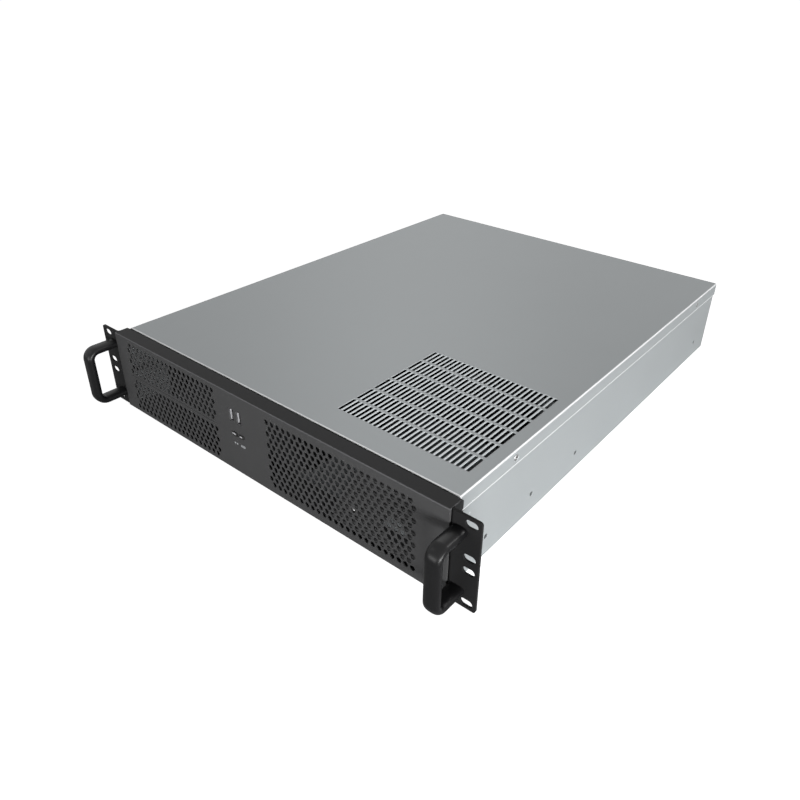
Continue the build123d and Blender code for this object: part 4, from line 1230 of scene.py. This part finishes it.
@dataclass
class Controls:
    """Sockets, push buttons and lamps of the front.

    A pane is a width, a height and a corner radius, and a run is two places in Y. The runs of a socket are
    counted from its front.
    """

    socket_x: ClassVar[Point] = (-31.7, -21.6)
    socket_z: ClassVar[float] = 20.1
    button_x: ClassVar[Point] = (-29.0, -19.4)
    button_z: ClassVar[float] = 0.8
    lens_z: ClassVar[float] = -9.8
    lamp_x: ClassVar[Point] = (-30.5, -27.5)
    board_y: float = 14.0
    socket_front: float = FACE + 0.4
    socket_pane: Triple = (5.8, 13.2, 0.7)
    mouth_pane: Triple = (5.2, 12.6, 0.4)
    mouth_floor: float = 2.0
    spring: tuple[Point, ...] = ((2.55, 0.6), (1.7, 3.6), (2.55, 8.0))
    spring_z: float = 3.2
    spring_half: float = 0.9
    tongue_x: float = -1.5
    tongue_pane: Triple = (1.0, 10.6, 0.2)
    tongue_back: float = 1.8
    nose_run: Point = (0.5, 1.8)
    contacts: int = 4
    contact_pitch: float = 2.5
    contact_half: float = 0.5
    contact_x: Point = (0.45, 0.6)
    contact_ends: Point = (3.0, 2.5)
    cap_pane: Triple = (6.6, 3.6, 0.7)
    cap_proud: float = 1.2
    collar_pane: Triple = (9.0, 6.0, 0.7)
    collar_run: Point = (-0.7, 0.3)
    stem_half: float = 1.3
    stem_run: Point = (0.0, 7.6)
    # the pale bar in a button's face is a painted highlight for the cap's lit top
    bar_half: Point = (2.4, 1.7)
    bar_z: Point = (0.1, 1.5)
    bar_floor: float = 0.6
    bar_proud: float = 1.35
    lamp_rings: tuple[Point, ...] = ((1.1, 0.0), (0.95, -0.12), (0.5, -0.25))
    lens_pane: Triple = (6.0, 2.6, 0.9)
    lens_run: Point = (FACE - 0.1, -0.9)

    def build(self, shop: Workshop) -> None:
        """Builds the sockets, buttons and lamps."""
        for name, x in zip(("left", "right"), self.socket_x):
            self.build_socket(shop, name, x)
        for name, x, half in zip(("power", "reset"), self.button_x, self.bar_half):
            self.build_button(shop, name, x, half)
        self.build_lamps(shop)

    def build_socket(self, shop: Workshop, name: str, x: float) -> None:
        """Builds one upright socket: its folded shell, its tongue and the tongue's contacts."""
        front, back, z = self.socket_front, self.board_y, self.socket_z
        shell = Blank().slab(x, z, self.socket_pane, front, back).solid()
        mouth = Blank().slab(x, z, self.mouth_pane, front - CLEAR, back - self.mouth_floor)
        shell.cut(mouth)
        shell.bevel(0.08, 1)
        springs = Blank()
        for side in SIDES:
            middle = z + side * self.spring_z
            springs.prism([(x + out, front + run) for out, run in self.spring], Along.Z,
                          middle - self.spring_half, middle + self.spring_half)
        shell.add(springs)
        shop.finish(shell, f"usb_{name}_shell", "socket_steel", (f"usb_port_{name}",))
        x += self.tongue_x
        start, end = self.nose_run
        nose = Blank().slab(x, z, self.tongue_pane, front + start, front + end)
        shop.finish(nose.solid().bevel(0.15), f"usb_{name}_nose", "button_plastic")
        tongue = Blank().slab(x, z, self.tongue_pane, front + end, back - self.tongue_back)
        shop.finish(tongue.solid(), f"usb_{name}_tongue", "black_plastic")
        low, high = self.contact_x
        run = (front + self.contact_ends[0], back - self.contact_ends[1])
        contacts = Blank()
        for k in range(self.contacts):
            middle = z + (k - (self.contacts - 1) / 2) * self.contact_pitch
            contacts.brick((x + low, x + high), run, (middle - self.contact_half, middle + self.contact_half))
        shop.finish(contacts.solid(), f"usb_{name}_contacts", "post_brass")

    def build_button(self, shop: Workshop, name: str, x: float, half: float) -> None:
        """Builds one button: a dark crowned cap with its collar and stem, and a pale bar in its face, a
        painted highlight in place of the light on the cap's top.
        """
        z, stem = self.button_z, self.stem_half
        cap = Blank().slab(x, z, self.cap_pane, FACE - self.cap_proud, self.collar_run[0])
        cap = cap.solid().bevel(0.35, 3)
        cap.add(Blank().slab(x, z, self.collar_pane, *self.collar_run))
        cap.add(Blank().brick((x - stem, x + stem), self.stem_run, (z - stem, z + stem)))
        wide, high = (x - half, x + half), (z + self.bar_z[0], z + self.bar_z[1])
        floor = FACE - self.bar_floor
        cap.cut(Blank().brick(wide, (FACE - self.cap_proud - CLEAR, floor), high))
        shop.finish(cap, f"{name}_button_cap", "black_plastic", (f"{name}_button",), body=f"{name}_button")
        # painted highlight: a pale bar where the cap's top would catch the light
        bar = Blank().brick(wide, (FACE - self.bar_proud, floor), high)
        shop.finish(bar.solid().bevel(0.2), f"{name}_button_bar", "button_plastic", body=f"{name}_button")

    def build_lamps(self, shop: Workshop) -> None:
        """Builds the two round lamps at the left and the bar-shaped one at the right."""
        rings = [(self.lamp_rings[0][0], self.board_y)]
        rings += [(radius, FACE + rise) for radius, rise in self.lamp_rings]
        dots = Blank()
        for x in self.lamp_x:
            dots.turned(rings, Along.Y, x, self.lens_z, 20)
        shop.finish(dots.solid(), "power_lens_guides", "lens_plastic", ("power_lens",))
        x, z, stem = self.button_x[1], self.lens_z, self.stem_half
        guide = Blank().slab(x, z, self.lens_pane, *self.lens_run).solid().bevel(0.2)
        guide.add(Blank().brick((x - stem, x + stem), (FACE + SHEET, self.board_y), (z - stem, z + stem)))
        shop.finish(guide, "disk_lens_guide", "lens_plastic", ("disk_lens",))


@dataclass
class Fans:
    """Three fans on the cross wall: flanged frames, motor plates on spokes and seven curved blades each.

    A blade's pitch and chord are given at its root, with their change up to its tip.
    """

    places: Triple = (-105.0, 0.0, 105.0)
    z: float = -1.55
    front: float = 215.0
    back: float = 240.0
    size: float = 80.0
    corner: float = 4.0
    flange: float = 4.0
    bore: float = 38.0
    barrel: float = 1.6
    hole_at: float = 35.75
    hole_r: float = 2.15
    boss_r: float = 4.2
    plate: float = 4.0
    spoke: float = 3.4
    hub: float = 16.0
    hub_rings: tuple[Point, ...] = ((3.0, 2.0), (0.8, 2.6), (0.0, 4.0))
    hub_back: float = 4.6
    shaft_r: float = 1.5
    blades: int = 7
    tip: float = 36.6
    stations: int = 7
    steps: int = 8
    pitch: Point = (50.0, -20.0)
    chord: Point = (17.0, 6.0)
    sweep: float = 0.25
    camber: float = 1.6
    half_thick: float = 0.75

    def build(self, shop: Workshop) -> None:
        """Builds the fans."""
        for number, x in enumerate(self.places, 1):
            self.build_frame(shop, number, x)
            self.build_rotor(shop, number, x)

    def corner_bars(self, blank: Blank, x: float, radius: float, start: float, end: float) -> Blank:
        """Adds a round bar at each screw hole.

        Args:
            blank: What they are added to.
            x: The fan's middle.
            radius: Their radius.
            start: Where they start in Y.
            end: Where they end.

        Returns:
            The blank.
        """
        for c, d in CORNERS:
            spot = circle(x + c * self.hole_at, self.z + d * self.hole_at, radius, 16)
            blank.prism(spot, Along.Y, start, end)
        return blank

    def build_frame(self, shop: Workshop, number: int, x: float) -> None:
        """Builds one frame with its motor plate."""
        front, back, flange = self.front, self.back, self.flange
        body = Blank().prism(pane(x, self.z, self.size, self.size, self.corner), Along.Y, front, back).solid()
        wide = self.size + 10 * CLEAR
        waist = Blank().prism(pane(x, self.z, wide, wide), Along.Y, front + flange, back - flange).solid()
        run = (front + flange - CLEAR, back - flange + CLEAR)
        core = Blank().prism(circle(x, self.z, self.bore + self.barrel, 64), Along.Y, *run)
        body.cut(waist.cut(self.corner_bars(core, x, self.boss_r, *run)))
        mouth = [(self.bore + 1.2, front - 0.5), (self.bore, front + 2), (self.bore, back + CLEAR)]
        bore = Blank().turned(mouth, Along.Y, x, self.z, 64)
        body.cut(self.corner_bars(bore, x, self.hole_r, front - CLEAR, back + CLEAR))
        plate = [(self.hub - 0.5, back), (self.hub, back - 0.5), (self.hub, back - self.plate)]
        body.add(Blank().turned(plate, Along.Y, x, self.z, 40))
        length = self.bore * 2 + 1.5
        for wide, high in ((length, self.spoke), (self.spoke, length)):
            body.add(Blank().prism(pane(x, self.z, wide, high), Along.Y, back - self.plate, back))
        shop.finish(body, f"fan_frame_{number}_moulding", "fan_plastic", (f"fan_frame_{number}",))

    def build_rotor(self, shop: Workshop, number: int, x: float) -> None:
        """Builds one rotor and its blades."""
        crown = [(self.hub - inset, self.front + run) for inset, run in self.hub_rings]
        crown.append((self.hub, self.back - self.hub_back))
        rotor = Blank().turned(crown, Along.Y, x, self.z, 40).solid()
        blade = self.blade().solid()
        shop.ring.run(rotor, Item=blade.holder, Count=self.blades, Place=(x * MM, 0.0, self.z * MM),
                      Material=shop.materials["fan_plastic"])
        blade.drop()
        shaft = [(self.shaft_r, self.back - 5), (self.shaft_r, self.back - 0.6)]
        rotor.add(Blank().turned(shaft, Along.Y, x, self.z, 16))
        shop.finish(rotor, f"fan_rotor_{number}_blades", "fan_plastic", (f"fan_rotor_{number}",),
                    body=f"fan_rotor_{number}", smooth=40.0)

    def blade(self) -> Blank:
        """One blade about the axis at the origin: thin curved sections from the hub to the tip."""
        middle = (self.front + 2 + self.back - self.hub_back) / 2
        root = self.hub - 1.0
        rings = []
        for k in range(self.stations):
            share = k / (self.stations - 1)
            radius = root + (self.tip - root) * share
            pitch = math.radians(self.pitch[0] + self.pitch[1] * share)
            chord = self.chord[0] + self.chord[1] * share
            upper, lower = [], []
            for j in range(self.steps + 1):
                t = j / self.steps - 0.5
                along, rise = chord * t, self.camber * (1 - 4 * t * t)
                half = self.half_thick * (1 - (2 * t) ** 4 * 0.7)
                for side, spots in ((1, upper), (-1, lower)):
                    out = rise + side * half
                    a = along * math.cos(pitch) - out * math.sin(pitch)
                    b = along * math.sin(pitch) + out * math.cos(pitch)
                    angle = a / radius + self.sweep * share
                    y = max(min(middle + b * 0.8, self.back - 5.0), self.front + 2.2)
                    spots.append(Vector((radius * math.sin(angle), y, radius * math.cos(angle))) * MM)
            rings.append(upper + lower[::-1])
        return Blank().skin(rings)


@dataclass
class Inlet:
    """Moulded mains inlet: rimmed body with two cut corners in its mouth, catches and three metal blades.

    A pane is a width, a height and a corner radius.
    """

    x: float = 194.0
    z: float = 8.0
    wall_y: float = 552.8
    back: float = 555.2
    depth: float = 22.0
    floor: float = 4.0
    rim_pane: Triple = (24.8, 31.8, 3.0)
    body_pane: Triple = (20.0, 27.0, 1.0)
    mouth_half: Point = (8.2, 11.7)
    mouth_cut: float = 4.5
    catch_half: float = 6.7
    catch: tuple[Point, ...] = ((-0.5, 551.7), (0.9, 551.7), (-0.5, 547.5))
    blades: tuple[Point, ...] = ((-3.0, -7.0), (3.0, 0.0), (-3.0, 7.0))
    blade_foot: Point = (2.0, 4.0)
    blade_tip: Point = (1.0, 3.0)
    blade_runs: Triple = (-1.0, 12.0, 14.0)

    def build(self, shop: Workshop) -> None:
        """Builds the inlet."""
        x, z = self.x, self.z
        body = Blank().slab(x, z, self.rim_pane, self.wall_y, self.back).solid()
        body.bevel(0.6, 3)
        start, floor = self.back - self.depth, self.back - self.depth + self.floor
        body.add(Blank().slab(x, z, self.body_pane, start, self.back - 0.4))
        a, b = self.mouth_half
        c = self.mouth_cut
        mouth = [(x - a, z - b), (x + a - c, z - b), (x + a, z - b + c), (x + a, z + b - c),
                 (x + a - c, z + b), (x - a, z + b)]
        body.cut(Blank().prism(rounded(mouth, [1.0] * 6, 4), Along.Y, floor, self.back + CLEAR))
        for side in SIDES:
            edge = x + side * self.body_pane[0] / 2
            wedge = [(edge + side * out, y) for out, y in self.catch]
            body.add(Blank().prism(wedge, Along.Z, z - self.catch_half, z + self.catch_half))
        shop.finish(body, "ac_inlet_body", "black_plastic", ("ac_inlet",))
        blades = Blank()
        for u, v in self.blades:
            foot, tip = (pane(x + u, z + v, *size) for size in (self.blade_foot, self.blade_tip))
            runs = [floor + run for run in self.blade_runs]
            blades.layers(Along.Y, list(zip((foot, foot, tip), runs)))
        shop.finish(blades.solid(), "ac_inlet_blades", "socket_steel")


@dataclass
class Softened:
    """Pieces that keep the CAD solid's shape but get their sharp edges broken."""

    width: float = 0.2
    # the front frame is painted black; the supply bracket and drive cages get the near-black look, partly
    # black paint and partly painted shade for the inside seen through the grille
    painted: tuple[tuple[str, Look], ...] = (
        ("front_frame", Look.plate), ("supply_bracket", Look.cage_shade), ("drive_cage_left", Look.cage_shade),
        ("drive_cage_right", Look.cage_shade))
    nodes: tuple[str, ...] = ("front_frame", "rear_panel", "slot_ledge", "supply_bracket", "fan_wall",
                              "drive_cage_left", "drive_cage_right", "control_board", "board_spacers",
                              "board_posts", *(f"slot_cover_{k}" for k in range(1, 8)))

    def build(self, shop: Workshop, slots: dict[str, str]) -> None:
        """Builds a piece for each node."""
        looks = dict(self.painted)
        for node in self.nodes:
            solid = Solid(self.merged(frame["nodes"][node].data))
            solid.bevel(self.width, 1, 40.0)
            slot = "black_paint" if node in looks else slots[node]
            shop.finish(solid, node + "_edges", slot, (node,), look=looks.get(node))

    @staticmethod
    def merged(mesh: bpy.types.Mesh) -> bpy.types.Mesh:
        """A copy of a CAD mesh whose loose triangles are joined into flat faces."""
        work = bmesh.new()
        work.from_mesh(mesh)
        bmesh.ops.remove_doubles(work, verts=work.verts, dist=0.00001)
        bmesh.ops.dissolve_limit(work, angle_limit=math.radians(1.0), verts=work.verts, edges=work.edges)
        made = bpy.data.meshes.new("merged")
        work.to_mesh(made)
        work.free()
        return made


@dataclass(frozen=True)
class Viewpoint:
    """The camera, as fitted to the rack slots and to the corners of panel and cover in the photograph."""

    place: Triple = (0.4389, -0.3271, 0.37725)
    turn: float = 38.26
    tilt: float = 59.84
    roll: float = 1.32
    focal_px: float = 718.1
    middle_px: Point = (417.1, 381.6)
    frame_px: float = 800.0
    sensor_mm: float = 36.0

    def build(self) -> None:
        """Adds the camera and makes it the scene's own."""
        data = bpy.data.cameras.new("viewpoint")
        data.sensor_width = self.sensor_mm
        data.lens = self.focal_px / self.frame_px * self.sensor_mm
        data.shift_x = (self.frame_px / 2 - self.middle_px[0]) / self.frame_px
        data.shift_y = (self.middle_px[1] - self.frame_px / 2) / self.frame_px
        data.clip_end = 20.0
        camera = bpy.data.objects.new("viewpoint", data)
        bpy.context.scene.collection.objects.link(camera)
        turned = Matrix.Identity(4)
        for angle, axis in ((self.turn, "Z"), (self.tilt, "X"), (self.roll, "Z")):
            turned = turned @ Matrix.Rotation(math.radians(angle), 4, axis)
        camera.matrix_world = Matrix.Translation(self.place) @ turned
        bpy.context.scene.camera = camera


@dataclass(frozen=True)
class SoftBox:
    """One area lamp aimed at a point."""

    name: str
    place: Triple
    aim: Triple
    width: float
    height: float
    watts: float

    def build(self) -> None:
        """Adds the lamp."""
        data = bpy.data.lights.new(self.name, "AREA")
        data.shape = "RECTANGLE"
        data.size = self.width
        data.size_y = self.height
        data.energy = self.watts
        lamp = bpy.data.objects.new(self.name, data)
        lamp.location = self.place
        way = Vector(self.aim) - Vector(self.place)
        lamp.rotation_euler = way.to_track_quat("-Z", "Y").to_euler()
        bpy.context.scene.collection.objects.link(lamp)


@dataclass
class Studio:
    """Pale floor, white surroundings and soft lamps."""

    floor_size: float = 30.0
    floor_tone: Triple = (0.9, 0.9, 0.9)
    middle: Triple = (0.0, 0.27, -0.044)
    near: float = 0.45
    far: float = 1.1
    lift: float = 0.86
    ambient: float = 0.03
    boxes: tuple[SoftBox, ...] = (
        SoftBox("side_box", (1.6, -0.65, 0.15), (0.1, 0.2, 0.0), 1.6, 0.36, 41.0),
        SoftBox("front_box", (-0.3, -1.8, 0.18), (0.1, 0.2, 0.0), 1.4, 0.4, 11.5),
        SoftBox("rim_box", (1.35, 2.2, 1.65), (0.1, 0.25, 0.0), 0.3, 0.3, 2.5),
        SoftBox("leg_box", (1.2, 1.46, 1.82), (0.2, 0.0, 0.0), 0.4, 0.4, 8.0),
        SoftBox("edge_box", (-1.5, -1.35, 2.0), (0.0, 0.1, 0.0), 0.3, 0.3, 2.0),
        SoftBox("sheen_box", (-1.4, 1.9, 1.9), (0.1, 0.2, 0.0), 1.0, 1.0, 6.0),
    )

    def build(self) -> None:
        """Adds the floor, the world and the lamps."""
        self.build_floor()
        self.build_world()
        for box in self.boxes:
            box.build()
        bpy.context.scene.view_settings.view_transform = "Standard"

    def build_floor(self) -> None:
        """Adds the floor under the case."""
        half = self.floor_size / 2
        low = CAD_BOX[0][2]
        corners = [(-half, -half, low), (half, -half, low), (half, half, low), (-half, half, low)]
        mesh = bpy.data.meshes.new("floor")
        mesh.from_pydata(corners, [], [(0, 1, 2, 3)])
        shade = Shade("floor_paper")
        seen = shade.node("ShaderNodeLightPath", {}, {}, "Is Camera Ray")
        shade.set(Base_Color=rgba(self.floor_tone), Roughness=0.9, Specular_IOR_Level=0.0)
        spot = shade.node("ShaderNodeVectorMath", {"operation": "DISTANCE"},
                          {0: shade.place(), 1: self.middle}, 1)
        values = {"Value": spot, "From Min": self.near, "From Max": self.far, "To Min": self.lift,
                  "To Max": 1.0}
        glow = shade.node("ShaderNodeMapRange", {"interpolation_type": "SMOOTHSTEP"}, values) * seen
        shade.set(Emission_Color=shade.blend(glow, (0.0, 0.0, 0.0), (1.0, 1.0, 1.0)), Emission_Strength=1.0)
        mesh.materials.append(shade.material)
        floor = bpy.data.objects.new("floor", mesh)
        bpy.context.scene.collection.objects.link(floor)

    def build_world(self) -> None:
        """Sets the surroundings: white where seen or reflected, dimmer where they light the case."""
        world = bpy.data.worlds.new("surroundings")
        bpy.context.scene.world = world
        world.use_nodes = True
        graph = Graph(world.node_tree)
        white, *others = (graph.node("ShaderNodeLightPath", {}, {}, kind)
                          for kind in ("Is Camera Ray", "Is Glossy Ray", "Is Transmission Ray"))
        for ray in others:
            white = graph.node("ShaderNodeMath", {"operation": "MAXIMUM"}, {0: white, 1: ray})
        strength = graph.node("ShaderNodeMapRange", {}, {"Value": white, "To Min": self.ambient})
        backdrop = graph.tree.nodes["Background"]
        graph.feed(backdrop.inputs["Color"], (1.0, 1.0, 1.0, 1.0))
        graph.feed(backdrop.inputs["Strength"], strength)


@dataclass
class Dressing:
    """Gives each CAD node the finish of its material slot."""

    slots: dict[str, str]
    materials: dict[str, bpy.types.Material]

    def dress(self) -> None:
        """Assigns the materials."""
        for node, slot in self.slots.items():
            mesh = frame["nodes"][node].data
            mesh.materials.clear()
            mesh.materials.append(self.materials[slot])
            LOG.info("%s has the finish %s", node, slot)


def main() -> None:
    """Builds the case's looks and its studio."""
    logging.basicConfig(level=logging.INFO, format="%(message)s")
    slots = {part["node"]: part["material_slot"] for part in frame["record"]["subparts"]}
    materials = {finish.name: finish.value.build() for finish in Finish}
    shop = Workshop(materials, {look.name: look.value.build() for look in Look})
    Dressing(slots, materials).dress()
    pairs = [part(side) for part in (Ear, Handle) for side in SIDES]
    for assembly in (Bezel(), Cover(), Pan(), *pairs, Screws(), Controls(), Fans(), Inlet()):
        assembly.build(shop)
    Softened().build(shop, slots)
    Studio().build()
    Viewpoint().build()


if __name__ == "__main__":
    main()
